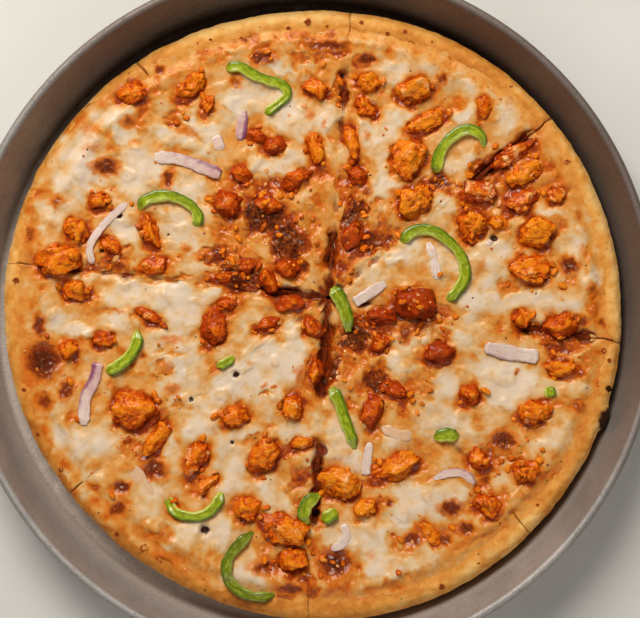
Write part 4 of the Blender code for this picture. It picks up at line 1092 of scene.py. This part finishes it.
def meltedCheese():
    made, place, warm, sauce, bake, edge, crest, pit, seam, deep = newMaterial(
        "melted cheese", *cheeseValues, "seam", "deep"
    )
    mid = place.clouds(4.6, 4.0, 0.6, 0.5)
    fine = place.clouds(1.7, 4.0, 0.65)
    grain = place.clouds(0.6, 3.0, 0.6)
    curds = place.clouds(1.6, 3.0, 0.6).rise(0.55, 0.68)
    # one scale from the palest cheese to the sauce, a little warmer low in the relief as painted shade
    level = warm + (mid - 0.5) * 0.2 + (fine - 0.5) * (0.08 + warm * 0.3) + (0.5 - crest) * 0.12
    names = ((0.0, "white"), (0.22, "cream"), (0.42, "tan"), (0.58, "gold"), (0.78, "orange"), (1.0, "red"))
    tones = [(stop, cheese[name]) for stop, name in names]
    colour = place.node("ValToRGB", {"stops": tones}, {"Fac": level})
    depth = (sauce + (mid - 0.5) * 0.5 + (fine - 0.5) * 0.3).rise(0.9, 1.35)
    red = (sauce + (mid - 0.5) * 0.5 + (fine - 0.5) * 0.5).rise(0.45, 0.9)
    # painted shade: in the sauce the hollows of the relief are painted darker
    hollows = ((0.5 - crest) * 0.8 + (0.5 - fine) * 1.4 + (0.5 - grain) * 0.5).rise(0.0, 0.45)
    oil = place.clouds(3.2, 4.0, 0.65, 0.8).rise(0.5, 0.64) * warm.rise(0.3, 0.6)
    # along the rim the thin cheese takes the dough's colour, with mottled baked spots
    rim = (edge + (mid - 0.5) * 0.9 + (fine - 0.5) * 0.3).rise(0.35, 0.95)
    rim = rim * (1.0 - sauce.rise(0.3, 0.7) * 0.8)
    spots = place.clouds(3.4, 3.0, 0.6).rise(0.56, 0.68) * edge.rise(0.05, 0.5)
    # blisters: orange round the outside, brown and at last nearly black in the middle
    baked = bake + (fine - 0.5) * 0.35 + (grain - 0.5) * 0.15
    shine = place.clouds(1.1, 2.0).rise(0.6, 0.7) * baked.rise(0.4, 0.7)
    cut = (seam + (fine - 0.5) * 0.6 * seam.rise(0.02, 0.3)).rise(0.2, 0.8)
    specks = (1.0 - place.cells(2.7).rise(0.05, 0.12)) * place.clouds(7.0, 2.0).rise(0.45, 0.6)
    freckles = place.clouds(1.0, 3.0, 0.6).rise(0.6, 0.7) * place.clouds(8.0, 2.0).rise(0.4, 0.6)
    colour = layered(
        colour,
        (depth * 0.94, cheese["sauceDark"]),
        # painted shade in the sauce's hollows
        (red * hollows * 0.8, cheese["sauceDark"]),
        (red * curds * (0.5 - depth * 0.3), cheese["curd"]),
        (oil * 0.45, cheese["orange"]),
        (rim * 0.75, mid.rise(0.35, 0.8).blend(crust["tan"], crust["gold"])),
        (spots * 0.4, cheese["rimSpot"]),
        (baked.rise(0.12, 0.4) * 0.75, cheese["blister"]),
        (baked.rise(0.34, 0.72), cheese["brown"]),
        (baked.rise(0.7, 1.0) * 0.8, cheese["burnt"]),
        (shine * 0.6, cheese["blisterShine"]),
        (cut * 0.97, (fine * 0.5 + mid * 0.5).rise(0.4, 0.6).blend(cheese["sauceDark"], cheese["red"])),
        # painted shade deep in the cuts and on the hidden sides
        (deep.rise(0.15, 0.8), cheese["deep"]),
        # painted shade in the holes
        (pit.rise(0.2, 0.8), cheese["pit"]),
        (specks * 0.7, cheese["speck"]),
        (freckles * 0.35, cheese["gold"]),
    )
    rough = 0.42 + (mid - 0.5) * 0.25 - oil * 0.08 + deep * 0.9
    height = fine * 0.45 + grain * 0.2 + mid * 0.35 + curds * 0.15 * red
    coat = (0.22 + warm.rise(0.5, 1.0) * 0.22) * (1.0 - deep.rise(0.0, 0.5)) * (1.0 - depth * 0.8)
    coat = coat * (1.0 - edge * 0.9)
    light = softLight(0.1, (1.0, 0.5, 0.2), 2.0)
    setSurface(place, colour, rough, place.bump(height, 0.4), light, warmShine, coated(coat, 0.14))
    return made


# The chicken
def chickenMeat():
    made, place, up, crag, tone, film = newMaterial("seasoned chicken", "up", "crag", "tone", "film")
    mid = place.clouds(3.4, 4.0, 0.6, 0.6)
    fine = place.clouds(1.2, 4.0, 0.7)
    grain = place.clouds(0.45, 2.0, 0.6)
    # painted light and shade: the meat is lighter and more orange high up and on its ridges, darker low down
    # and in its hollows
    warm = (tone * 0.24 + mid * 0.8 + up * 0.5 + (fine - 0.5) * 0.6 - 0.3).rise(0.0, 0.6)
    light = (crag * 0.5 + up * 0.5 + (fine - 0.5) * 1.3 + (mid - 0.5) * 0.8 + tone * 0.25).rise(0.5, 1.1)
    shade = ((1.0 - up) * 0.9 + (0.5 - crag) * 0.8 + (0.5 - fine) * 0.5 - tone * 0.1).rise(0.3, 1.0)
    pits = (0.75 - crag * 0.9 - (fine - 0.5) * 0.6).rise(0.25, 0.65)
    charred = (mid - 0.5 + (grain - 0.5) * 0.4 - tone * 0.1).rise(0.14, 0.26)
    creamy = (film + (fine - 0.5) * 1.4 + (grain - 0.5) * 0.6 + (crag - 0.5) * 0.4).rise(0.45, 0.8)
    dots = 1.0 - place.cells(1.6).rise(0.06, 0.16)
    colour = layered(
        warm.blend(chicken["red"], chicken["orange"]),
        (light * 0.8, chicken["bright"]),
        (shade * 0.85, chicken["shade"]),
        (pits * 0.5, chicken["dark"]),
        (charred * 0.45, chicken["charred"]),
        (creamy * 0.75, chicken["film"]),
        (dots * 0.6, chicken["spice"]),
    )
    shine = {"Specular IOR Level": 0.12, "Specular Tint": (1.0, 0.8, 0.5, 1.0)}
    crags = place.bump(fine * 0.6 + grain * 0.4, 0.7)
    setSurface(place, colour, 0.42 + (fine - 0.5) * 0.2, crags, shine, coated(0.22, 0.2))
    return made


def chunkMesh(ball, x, y, length, width, turn, height, sunk, seed):
    # a torn, cut piece of meat: a squared ball with flat faces, crags and fibres
    draw = random.Random(seed)
    length, width = length + chicken["wider"], width + chicken["wider"]
    _, _, bright, covered = min(chicken["tones"], key=lambda row: math.hypot(row[0] - x, row[1] - y))
    shape = np.sign(ball) * np.abs(ball) ** draw.uniform(0.68, 0.92)
    for _ in range(draw.randint(5, 8)):
        facing = np.array([draw.uniform(-1.0, 1.0), draw.uniform(-1.0, 1.0), draw.uniform(0.0, 0.8)])
        facing /= np.linalg.norm(facing)
        over = np.maximum(shape @ facing - draw.uniform(0.66, 0.95), 0.0)
        shape -= over[:, None] * facing * 0.95
    shape *= 1.0 + 0.26 * noiseAt(ball * 1.5, 1.0, seed * 1.7)[:, None]
    reach = np.abs(shape).max(axis=0)
    shape /= np.maximum(reach, 0.8)
    size = np.array((length / 2.0, width / 2.0, height))
    up = np.maximum(0.0, (shape[:, 2] + chicken["seat"]) / (1.0 + chicken["seat"]))
    local = np.column_stack((shape[:, 0] * size[0], shape[:, 1] * size[1], up * height))
    out = ball / size
    out /= np.linalg.norm(out, axis=1, keepdims=True)
    lean = draw.uniform(-0.6, 0.6)
    fibre = local @ np.array(((0.3, 0.2 * lean, 0.0), (0.2 * lean, 1.0, 0.3), (0.0, 0.3, 1.0)))
    where = local + seed * 3.3
    lumps = 2.0 * np.abs(noiseAt(where, 3.6))
    grit = 2.0 * np.abs(noiseAt(where, 1.7, 5.0))
    strand = noiseAt(fibre + seed, 1.1)
    small = noiseAt(where, 0.8, 9.0)
    rough = min(1.0, width / 11.0) * draw.uniform(0.85, 1.25)
    torn = 0.35 + 0.9 * soften(noiseAt(where, 5.0, 17.0), -0.35, 0.25)
    push = rough * (torn * (0.75 * (lumps - 0.42) + 0.3 * (grit - 0.4) + 0.45 * strand) + 0.35 * small)
    local += out * push[:, None]
    tilt = (draw.uniform(-0.12, 0.12), draw.uniform(-0.12, 0.12))
    local[:, 2] += (local[:, 0] * tilt[0] + local[:, 1] * tilt[1]) * np.clip(up, 0.0, 1.0)
    xy = turned(local, math.radians(turn)) + (x, y)
    z = smoothTop(xy) + local[:, 2] - sunk
    above = np.clip(local[:, 2] / max(height, 0.1), 0.0, 1.0)
    values = {
        "up": above,
        "crag": np.clip(0.15 + 0.55 * lumps + 0.5 * grit + 0.4 * (1.0 - torn), 0.0, 1.0),
        "tone": np.full(len(ball), bright + draw.uniform(-0.35, 0.35)),
        "film": np.clip(
            0.8 * covered + draw.uniform(-0.8, -0.1) + 0.6 * noiseAt(where, 5.0, 3.0) + above * 0.3, 0.0, 1.0
        ),
    }
    return np.column_stack((xy, z)), values


def joinMeshes(parts):
    points, faces, values = [], [], {}
    start = 0
    for spots, corners, numbers in parts:
        points.append(spots)
        faces += [tuple(c + start for c in face) for face in corners]
        start += len(spots)
        for key in numbers:
            values.setdefault(key, []).append(numbers[key])
    return np.vstack(points), faces, {key: np.concatenate(values[key]) for key in values}


def makeChicken():
    meat = chickenMeat()
    ball, faces = sphereMesh(chicken["bigRings"])
    for n, (x, y, length, width, turn) in enumerate(bigChunks, 1):
        height = min(chicken["tallest"], chicken["heightShare"] * width) + 0.6
        points, values = chunkMesh(ball, x, y, length, width, turn, height, chicken["sunk"], n)
        newPiece(f"chickenPiece{n:02d}", points, faces, meat, values, f"chicken_{n:02d}")
    ball, faces = sphereMesh(chicken["smallRings"])
    groups = [[] for _ in range(8)]
    for n, (x, y, length, width, turn) in enumerate(smallChunks, 1):
        away = np.array((x, y)) - crossing
        around = (math.degrees(math.atan2(away[1], away[0])) - pizza["cuts"][0]) % 360.0
        owner = sum(around >= cut - pizza["cuts"][0] for cut in pizza["cuts"]) - 1
        points, values = chunkMesh(ball, x, y, length, width, turn, 0.5 * width + 0.8 + 0.5, 0.9, 100 + n)
        groups[owner].append((points, faces, values))
    for k, group in enumerate(groups):
        points, corners, values = joinMeshes(group)
        newPiece(f"chickenBits{k + 1}", points, corners, meat, values, f"cheese_{k + 1}")
    print("chicken made")


# Pepper and onion strips: width, height and the points of the middle line
pepper = {
    "sides": 22,
    "step": 0.8,
    "hiddenAt": (-73.0, -94.0),  # where one end sinks into the cheese
    "skin": tint(110, 140, 4),
    "skinDark": tint(62, 92, 0),
    "flesh": tint(170, 184, 16),
    "fleshPale": tint(212, 216, 104),
    "fleshDark": tint(126, 140, 14),
    # under: painted shade on the underside
    "under": tint(96, 96, 12),
    # dimmed: the colour that the darker strips are drawn towards
    "dimmed": tint(80, 88, 0),
    "dull": {10: 0.8, 6: 0.2, 11: 0.2, 4: 0.15, 5: 0.3},  # strips that are darker than the rest
}
peppers = (
    (4.4, 3.6, ((-42, 126), (-35, 127), (-28, 123), (-20, 120), (-13, 118), (-11, 112), (-22, 103))),
    (5.0, 3.8, ((-87, 54), (-83, 59), (-73, 61), (-63, 58), (-57, 52), (-57, 45))),
    (5.0, 3.8, ((66, 73), (68, 83), (74, 91), (82, 95), (89, 92), (91, 86))),
    (5.4, 4.2, ((48, 37), (55, 43), (64, 43), (72, 38), (79, 30), (81, 20), (77, 12), (72, 7))),
    (6.0, 4.0, ((13, 14), (17, 7), (20, -1), (21, -9))),
    (5.8, 4.0, ((12, -38), (16, -45), (19, -54), (22, -62), (24, -69))),
    (5.4, 4.0, ((-88, -8), (-88, -15), (-92, -22), (-98, -27), (-104, -30))),
    (4.2, 3.2, ((-47, -27), (-42, -25), (-38, -22))),
    (4.6, 3.6, ((-73, -93), (-69, -101), (-61, -104), (-53, -103), (-47, -98), (-44, -91))),
    (4.7, 3.8, ((-28, -112), (-35, -118), (-41, -126), (-41, -135), (-35, -142), (-26, -145), (-17, -144))),
    (6.2, 4.6, ((6, -93), (0, -97), (-2, -103), (0, -108))),
    (5.8, 4.2, ((7, -105), (11, -104), (15, -101))),
    (6.0, 4.2, ((65, -64), (71, -62), (78, -63))),
    (5.2, 3.6, ((124, -37), (125, -43))),
)
onion = {
    "sides": 18,
    "step": 0.8,
    "flesh": tint(222, 192, 174),
    "pale": tint(242, 228, 220),
    "purple": tint(142, 76, 108),
    "pink": tint(206, 158, 156),
    # under: painted shade on the underside
    "under": tint(196, 132, 96),
    # dimmed: the colour that the darker strips are drawn towards
    "dimmed": tint(120, 78, 54),
    "glassy": tint(226, 176, 126),  # where it lies under thin cheese
    "dull": {7: 0.08, 5: 0.1},
}
onions = (  # the last pair is how purple the two ends are
    (5.8, 2.2, ((-79, 81), (-67, 80), (-55, 76), (-45, 72)), (0.15, 1.1)),
    (3.6, 1.8, ((-111, 26), (-112, 35), (-106, 45), (-98, 53), (-93, 57)), (0.1, 0.45)),
    (4.8, 2.0, ((-33, 105), (-34, 97), (-35, 90)), (0.8, 1.3)),
    (4.6, 2.0, ((62, 37), (65, 28), (67, 18)), (0.2, 0.1)),
    (5.2, 2.2, ((24, 6), (32, 11), (40, 16)), (0.0, 0.0)),
    (5.4, 2.4, ((-108, -25), (-110, -34), (-114, -42), (-115, -50), (-115, -57)), (1.5, 0.1)),
    (6.8, 2.4, ((91, -17), (105, -20), (119, -22)), (0.5, 0.1)),
    (4.0, 1.8, ((18, -108), (20, -113), (18, -118), (12, -121)), (0.1, 0.4)),
    (4.0, 1.8, ((65, -85), (72, -82), (80, -82), (86, -87)), (0.3, 0.8)),
    (4.0, 1.8, ((32, -66), (31, -72), (30, -78), (30, -83)), (0.3, 0.1)),
)
clearOnions = (  # sunk in the cheese, nearly see-through
    (7.0, 1.2, ((-92, -78), (-86, -86), (-82, -94), (-82, -102)), (0.2, 0.2)),
    (6.0, 1.9, ((38, -58), (46, -62), (55, -63)), (0.4, 0.2)),
    (6.0, 1.9, ((-48, 93), (-46, 88), (-45, 84)), (0.5, 0.2)),
    (3.2, 2.0, ((92.0, 38.0), (95.0, 35.5)), (0.0, 0.0)),
)


def smoothRoute(points, step):
    line = [Vector(p) for p in points]
    line = [2 * line[0] - line[1], *line, 2 * line[-1] - line[-2]]
    dense = []
    for a, b, c, d in zip(line, line[1:], line[2:], line[3:]):
        for t in (i / 12.0 for i in range(12)):
            bend = (2 * a - 5 * b + 4 * c - d) * t ** 2 + (3 * b - a - 3 * c + d) * t ** 3
            dense.append(b + ((c - a) * t + bend) / 2.0)
    dense.append(line[-2])
    dense = np.array([tuple(p) for p in dense])
    far = np.concatenate(([0.0], np.cumsum(np.linalg.norm(np.diff(dense, axis=0), axis=1))))
    even = np.linspace(0.0, far[-1], max(6, round(far[-1] / step) + 1))
    return np.column_stack((np.interp(even, far, dense[:, 0]), np.interp(even, far, dense[:, 1]))), even


def stripMesh(kind, width, height, points, seed, ground, square, hollow, blunt=0.3):
    # a bar with a rounded section, bent along its route and laid on what is below it
    sides = kind["sides"]
    route, far = smoothRoute(points, kind["step"])
    ahead = np.gradient(route, axis=0)
    ahead /= np.linalg.norm(ahead, axis=1, keepdims=True)
    left = np.column_stack((-ahead[:, 1], ahead[:, 0]))
    bend = np.sum(ahead[:-1, 0] * ahead[1:, 1] - ahead[:-1, 1] * ahead[1:, 0])
    outer = -1.0 if bend > 0.0 else 1.0  # the skin is on the outside of the bend
    steps = len(route)
    turns = np.arange(sides) * (2.0 * math.pi / sides)
    cx = np.sign(np.cos(turns)) * np.abs(np.cos(turns)) ** square
    cz = np.sign(np.sin(turns)) * np.abs(np.sin(turns)) ** square
    low = np.minimum(far, far[-1] - far)
    chance = noiseAt(np.array([(seed * 3.7, n, 0.5) for n in (1.3, 4.1, 7.7)]), 1.0)
    first, last, least = 0.9 * np.abs(chance)
    first, last = (min((blunt + 2.2 * part) * width, 0.22 * far[-1]) for part in (first, last))
    ends = np.minimum(far / first, (far[-1] - far) / last)
    ends = np.clip(np.sqrt(np.clip(ends, 0.0, 1.0)), 0.25 + 0.5 * least + 0.2 * (blunt < 0.2), 1.0)
    wide = 1.0 + 0.24 * flatNoise(route, seed * 1.3, 8.0) + 0.12 * flatNoise(route, seed * 2.3, 3.0)
    base = ground(route)
    kernel = np.ones(5) / 5.0
    base = np.convolve(np.pad(base, 2, mode="edge"), kernel, mode="valid")
    across = cx[None, :] * (width / 2.0) * (ends * wide)[:, None]
    groove = hollow * np.exp(-((cx * outer + 0.1) ** 2) / 0.1) * np.maximum(cz, 0.0)
    upright = ((cz + 1.0) / 2.0 - groove)[None, :] * height * ends[:, None]
    spots = route[:, None, :] + left[:, None, :] * across[..., None]
    z = base[:, None] + upright
    mesh = np.concatenate((spots, z[..., None]), axis=2).reshape(-1, 3)
    ripple = 0.16 * noiseAt(mesh, 2.2, seed) + 0.1 * noiseAt(mesh, 0.9, seed + 3.0)
    mesh[:, 2] += ripple * np.tile(np.maximum(cz, 0.0), steps)
    mesh[:, :2] += (np.repeat(left, sides, axis=0) * np.tile(cx, steps)[:, None]) * ripple[:, None]
    faces = []
    for i in range(steps - 1):
        for j in range(sides):
            k = (j + 1) % sides
            faces.append((i * sides + j, i * sides + k, (i + 1) * sides + k, (i + 1) * sides + j))
    faces.append(tuple(range(sides - 1, -1, -1)))
    faces.append(tuple((steps - 1) * sides + j for j in range(sides)))
    a, b, c = (mesh[faces[0][n]] for n in (0, 1, 2))
    centre = np.array((*route[0], base[0] + height / 2.0))
    if np.dot(np.cross(b - a, c - a), a - centre) < 0.0:
        faces = [tuple(reversed(face)) for face in faces]
    values = {
        "side": np.tile(cx * outer, steps),  # 1 on the outside of the bend
        "up": np.tile((cz + 1.0) / 2.0, steps),
        "along": np.repeat(far, sides),
        "end": np.repeat(np.clip(1.0 - low / 1.2, 0.0, 1.0), sides),
        "tone": np.full(len(mesh), (seed * 0.37) % 1.0),
    }
    return mesh, faces, values


def pepperFlesh():
    made, place, side, up, along, end, tone, dull = newMaterial(
        "green pepper", "side", "up", "along", "end", "tone", "dull"
    )
    mid = place.clouds(3.0, 3.0, 0.6)
    fine = place.clouds(0.9, 3.0, 0.6)
    ribs = place.node("CombineXYZ", {}, {0: side * 3.0, 1: along * 0.2, 2: tone * 9.0})
    ribs = ribs.clouds(0.8, 3.0, 0.6)
    skin = (side + (mid - 0.5) * 0.5).rise(0.35, 0.75)
    inner = ((0.0 - side) + (fine - 0.5) * 0.6).rise(0.45, 0.9)
    flesh = (ribs * 0.6 + mid * 0.5).rise(0.4, 0.7).blend(pepper["fleshDark"], pepper["flesh"])
    flesh = (inner * 0.75).blend(flesh, pepper["fleshPale"])
    green = (mid * 0.7 + fine * 0.3).rise(0.35, 0.65).blend(pepper["skinDark"], pepper["skin"])
    colour = layered(
        skin.blend(flesh, green),
        # painted shade on the underside
        ((1.0 - up).rise(0.45, 0.9) * 0.8, pepper["under"]),
        (end * 0.6, pepper["flesh"]),
        (dull * 0.75, pepper["dimmed"]),
        ((ribs.rise(0.55, 0.62) - ribs.rise(0.62, 0.69)) * 0.35, pepper["fleshPale"]),
    )
    rough = 0.26 + (fine - 0.5) * 0.2 - skin * 0.06
    light = softLight(0.15, (0.6, 1.0, 0.2), 1.6)
    shine = {"Specular IOR Level": 0.25, **coated(0.6, 0.16)}
    setSurface(place, colour, rough, place.bump(ribs * 0.6 + fine * 0.3, 0.35), light, shine)
    return made


def onionFlesh():
    made, place, side, up, along, tone, dull, clear = newMaterial(
        "red onion", "side", "up", "along", "purple", "dull", "clear"
    )
    mid = place.clouds(3.6, 3.0, 0.6)
    fine = place.clouds(0.8, 3.0, 0.6)
    lines = place.node("CombineXYZ", {}, {0: side * 4.0, 1: along * 0.12, 2: tone * 5.0})
    lines = lines.clouds(0.7, 3.0, 0.6)
    rim = (side + (mid - 0.5) * 0.9 + tone * 0.7 - 0.5).rise(0.25, 0.95)
    colour = layered(
        (lines * 0.7 + mid * 0.3).rise(0.4, 0.65).blend(onion["flesh"], onion["pale"]),
        (((mid - 0.5) * 1.2 + tone * 0.6).rise(0.1, 0.9), onion["pink"]),
        (rim * (0.35 + tone * 0.55), onion["purple"]),
        (lines.rise(0.58, 0.66) * 0.35, onion["pink"]),
        # painted shade on the underside
        ((1.0 - up).rise(0.5, 0.95) * 0.6, onion["under"]),
        (dull, onion["dimmed"]),
        (clear * (0.75 - rim * 0.3), onion["glassy"]),
    )
    light = softLight(0.3, (1.0, 0.6, 0.5), 1.5)
    shine = {"Specular IOR Level": 0.3, **coated(0.4, 0.18)}
    grooves = place.bump(lines * 0.7 + fine * 0.2, 0.25)
    setSurface(place, colour, 0.3 + (fine - 0.5) * 0.2, grooves, light, shine)
    return made


def makeStrips():
    green = pepperFlesh()

    def lifted(xy):
        return smoothTop(xy) + 0.15

    def sunkPepper(xy):
        hidden = np.hypot(*(xy - pepper["hiddenAt"]).T)
        return smoothTop(xy) - 0.3 - 2.6 * (1.0 - soften(hidden, 5.0, 10.0))

    def sunken(xy):
        return smoothTop(xy) - 0.45

    for n, (width, height, points) in enumerate(peppers, 1):
        mesh, faces, values = stripMesh(pepper, width + 0.8, height, points, n, sunkPepper, 0.62, 0.3)
        values["dull"] = np.full(len(mesh), pepper["dull"].get(n, 0.0))
        newPiece(f"pepperStrip{n:02d}", mesh, faces, green, values, f"pepper_{n:02d}")
    red = onionFlesh()
    for n, (width, height, points, purple) in enumerate(onions, 1):
        shape = (width + 0.3, height * 0.75, points, n + 20)
        mesh, faces, values = stripMesh(onion, *shape, lifted, 0.45, 0.2, 0.06)
        values["purple"] = np.interp(values["along"], (0.0, values["along"].max()), purple)
        values["dull"] = np.full(len(mesh), onion["dull"].get(n, 0.0))
        newPiece(f"onionStrip{n:02d}", mesh, faces, red, values, f"onion_{n:02d}")
    for n, (width, height, points, purple) in enumerate(clearOnions, 1):
        mesh, faces, values = stripMesh(onion, width, height, points, n + 40, sunken, 0.8, 0.2)
        values["purple"] = np.interp(values["along"], (0.0, values["along"].max()), purple)
        values["clear"] = np.full(len(mesh), 1.0 if n < 3 else 0.2)
        newPiece(f"sunkenOnion{n}", mesh, faces, red, values, None)
    print("pepper and onion made")


# Small scattered things on the cheese
scatter = {  # how many, least and greatest width in mm, height against width, seed
    "chickenCrumbs": (330, (0.9, 3.2), 0.9, 15),
    "cheeseShreds": (70, (0.9, 2.8), 0.22, 16),
    "herbFlecks": (70, (0.4, 0.9), 0.35, 11),
    "chilliFlakes": (50, (0.5, 1.4), 0.4, 12),
    "crustCrumbs": (25, (0.4, 1.3), 0.8, 13),
    "oilBeads": (240, (0.4, 1.5), 0.3, 14),
}


def plainMaterial(name, dark, light, size, rough, coat=0.0, distance=0.1):
    made, place, tone = newMaterial(name, "tone")
    cloud = place.clouds(size, 3.0, 0.6)
    colour = (cloud * 0.6 + tone * 0.5).rise(0.25, 0.8).blend(dark, light)
    lumps = place.bump(place.clouds(size * 0.4, 2.0), distance)
    setSurface(place, colour, rough + (cloud - 0.5) * 0.15, lumps, coated(coat, 0.1))
    return made


def spread(name, material, ground, pick, rings=5, reach=157.0):
    # small lumps of one kind, laid on the food at true size
    count, sizes, flatness, seed = scatter[name]
    draw = random.Random(seed)
    ball, faces = sphereMesh(rings)
    parts = []
    tries = [(draw.uniform(0.0, 2.0 * math.pi), draw.random(), draw.random()) for _ in range(count * 40)]
    around, far, luck = (np.array(column) for column in zip(*tries))
    places = middle + (reach * np.sqrt(far))[:, None] * direction(around)
    for x, y in places[luck < pick(places)]:
        if len(parts) >= count:
            break
        hit, facing, _, _ = ground.ray_cast(Vector((x, y, 45.0)), Vector((0, 0, -1)))
        if hit is None or facing.z < 0.35:
            continue
        size = draw.uniform(*sizes)
        long = size * draw.uniform(1.0, 1.9)
        angle = draw.uniform(0.0, math.pi)
        shape = ball * (1.0 + 0.35 * noiseAt(ball + len(parts) * 1.7, 0.9))[:, None]
        local = shape * np.array((long / 2.0, size / 2.0, size * flatness / 2.0))
        spots = np.column_stack((turned(local, angle), local[:, 2]))
        tilt = Vector((0, 0, 1)).rotation_difference(facing).to_matrix()
        spots = spots @ np.array(tilt).T + np.array(hit) + np.array(facing) * size * flatness * 0.2
        marks = (("tone", draw.random()), ("crag", draw.uniform(0.2, 0.8)), ("film", draw.uniform(-0.4, 0.5)))
        values = {key: np.full(len(ball), number) for key, number in marks}
        parts.append((spots, faces, {**values, "up": (ball[:, 2] + 1.0) / 2.0}))
    points, corners, values = joinMeshes(parts)
    newPiece(name, points, corners, material, values, None)


def makeScatter():
    points, faces = [], []
    for piece in bpy.data.objects:
        if piece.name.startswith(("cheeseSlice", "doughSlice", "chickenPiece", "chickenBits")):
            spots = np.empty(len(piece.data.vertices) * 3)
            piece.data.vertices.foreach_get("co", spots)
            faces += [tuple(c + len(points) for c in face.vertices) for face in piece.data.polygons]
            points += [tuple(p) for p in (spots.reshape(-1, 3) / mm).tolist()]
    ground = BVHTree.FromPolygons(points, faces)

    def everywhere(xy):
        return 0.5

    def onSauce(xy):
        return 0.06 + patches(xy, sauceAndShadowPatches)

    def nearRim(xy):
        return soften(np.linalg.norm(xy - middle, axis=1), 90.0, 150.0)

    def nearMeat(xy):
        close = chunkNearness(xy)
        return 0.01 + 0.5 * patches(xy, sauceAndShadowPatches) + 0.5 * ((close > 0.0) & (close < 3.0))

    shreds = plainMaterial("shreds of cheese", tint(206, 112, 40), tint(228, 160, 88), 1.4, 0.4, 0.2)
    herbs = plainMaterial("dried herbs", tint(44, 34, 12), tint(92, 82, 30), 0.8, 0.7)
    chilli = plainMaterial("chilli flakes", tint(150, 34, 8), tint(214, 96, 22), 0.8, 0.4, 0.2)
    crumbs = plainMaterial("crumbs", tint(176, 96, 36), tint(226, 168, 92), 0.9, 0.8)
    oil = plainMaterial("orange oil", tint(204, 84, 14), tint(232, 146, 58), 1.5, 0.14, 0.5, 0.02)
    spread("chickenCrumbs", chickenMeat(), ground, nearMeat, 8, 140.0)
    spread("cheeseShreds", shreds, ground, onSauce, 7, 135.0)
    spread("herbFlecks", herbs, ground, everywhere)
    spread("chilliFlakes", chilli, ground, onSauce)
    spread("crustCrumbs", crumbs, ground, nearRim)
    spread("oilBeads", oil, ground, onSauce, 7, 148.0)
    print("scattered bits made")


# Floor, lights and camera
studio = {
    "floor": tint(226, 224, 220),
    "floorDark": tint(214, 212, 208),
    "lampColour": (1.0, 0.965, 0.895),
    "keyPower": 20.4,
    "keySize": 0.7,
    "keyPlace": (-0.30, 0.92, 0.98),
    "fillPower": 3.6,
    "fillPlace": (0.2, -0.95, 0.9),
    "worldStrength": 0.15,
    "cameraPlace": (0.0063, 0.0027, 0.934),
    "lens": 100.0,
    "sensor": 36.0,
}


def makeStudio():
    made, place = newMaterial("pale floor")
    cloud = place.clouds(180.0, 3.0, 0.5)
    colour = cloud.rise(0.3, 0.7).blend(studio["floorDark"], studio["floor"])
    setSurface(place, colour, 0.8 + (cloud - 0.5) * 0.1)
    mesh = bpy.data.meshes.new("floor")
    half = 1.5
    corners = [(-half, -half, 0), (half, -half, 0), (half, half, 0), (-half, half, 0)]
    mesh.from_pydata(corners, [], [(0, 1, 2, 3)])
    mesh.materials.append(made)
    floor = bpy.data.objects.new("floor", mesh)
    bpy.context.scene.collection.objects.link(floor)
    for name, power, size, spot in (
        ("keyLight", studio["keyPower"], studio["keySize"], studio["keyPlace"]),
        ("fillLight", studio["fillPower"], 1.0, studio["fillPlace"]),
    ):
        lamp = bpy.data.lights.new(name, "AREA")
        lamp.energy = power
        lamp.size = size
        lamp.color = studio["lampColour"]
        light = bpy.data.objects.new(name, lamp)
        light.location = spot
        light.rotation_mode = "QUATERNION"
        light.rotation_quaternion = Vector(spot).to_track_quat("Z", "Y")
        bpy.context.scene.collection.objects.link(light)
    world = bpy.data.worlds.new("studio")
    world.use_nodes = True
    sky = world.node_tree.nodes["Background"]
    sky.inputs["Color"].default_value = tint(240, 234, 226)
    sky.inputs["Strength"].default_value = studio["worldStrength"]
    scene = bpy.context.scene
    scene.world = world
    scene.view_settings.view_transform = "Standard"
    lensData = bpy.data.cameras.new("camera")
    lensData.lens = studio["lens"]
    lensData.sensor_width = studio["sensor"]
    camera = bpy.data.objects.new("camera", lensData)
    camera.location = studio["cameraPlace"]
    scene.collection.objects.link(camera)
    scene.camera = camera
    print("studio made")


def makePizza():
    dough = crustDough()
    for k in range(8):
        makeCrust(k, dough)
    print("dough made")
    melted = meltedCheese()
    for k in range(8):
        makeCheese(k, melted)
    makeCutFilling(melted)
    print("cheese made")


makePan()
makePizza()
makeChicken()
makeStrips()
makeScatter()
makeStudio()
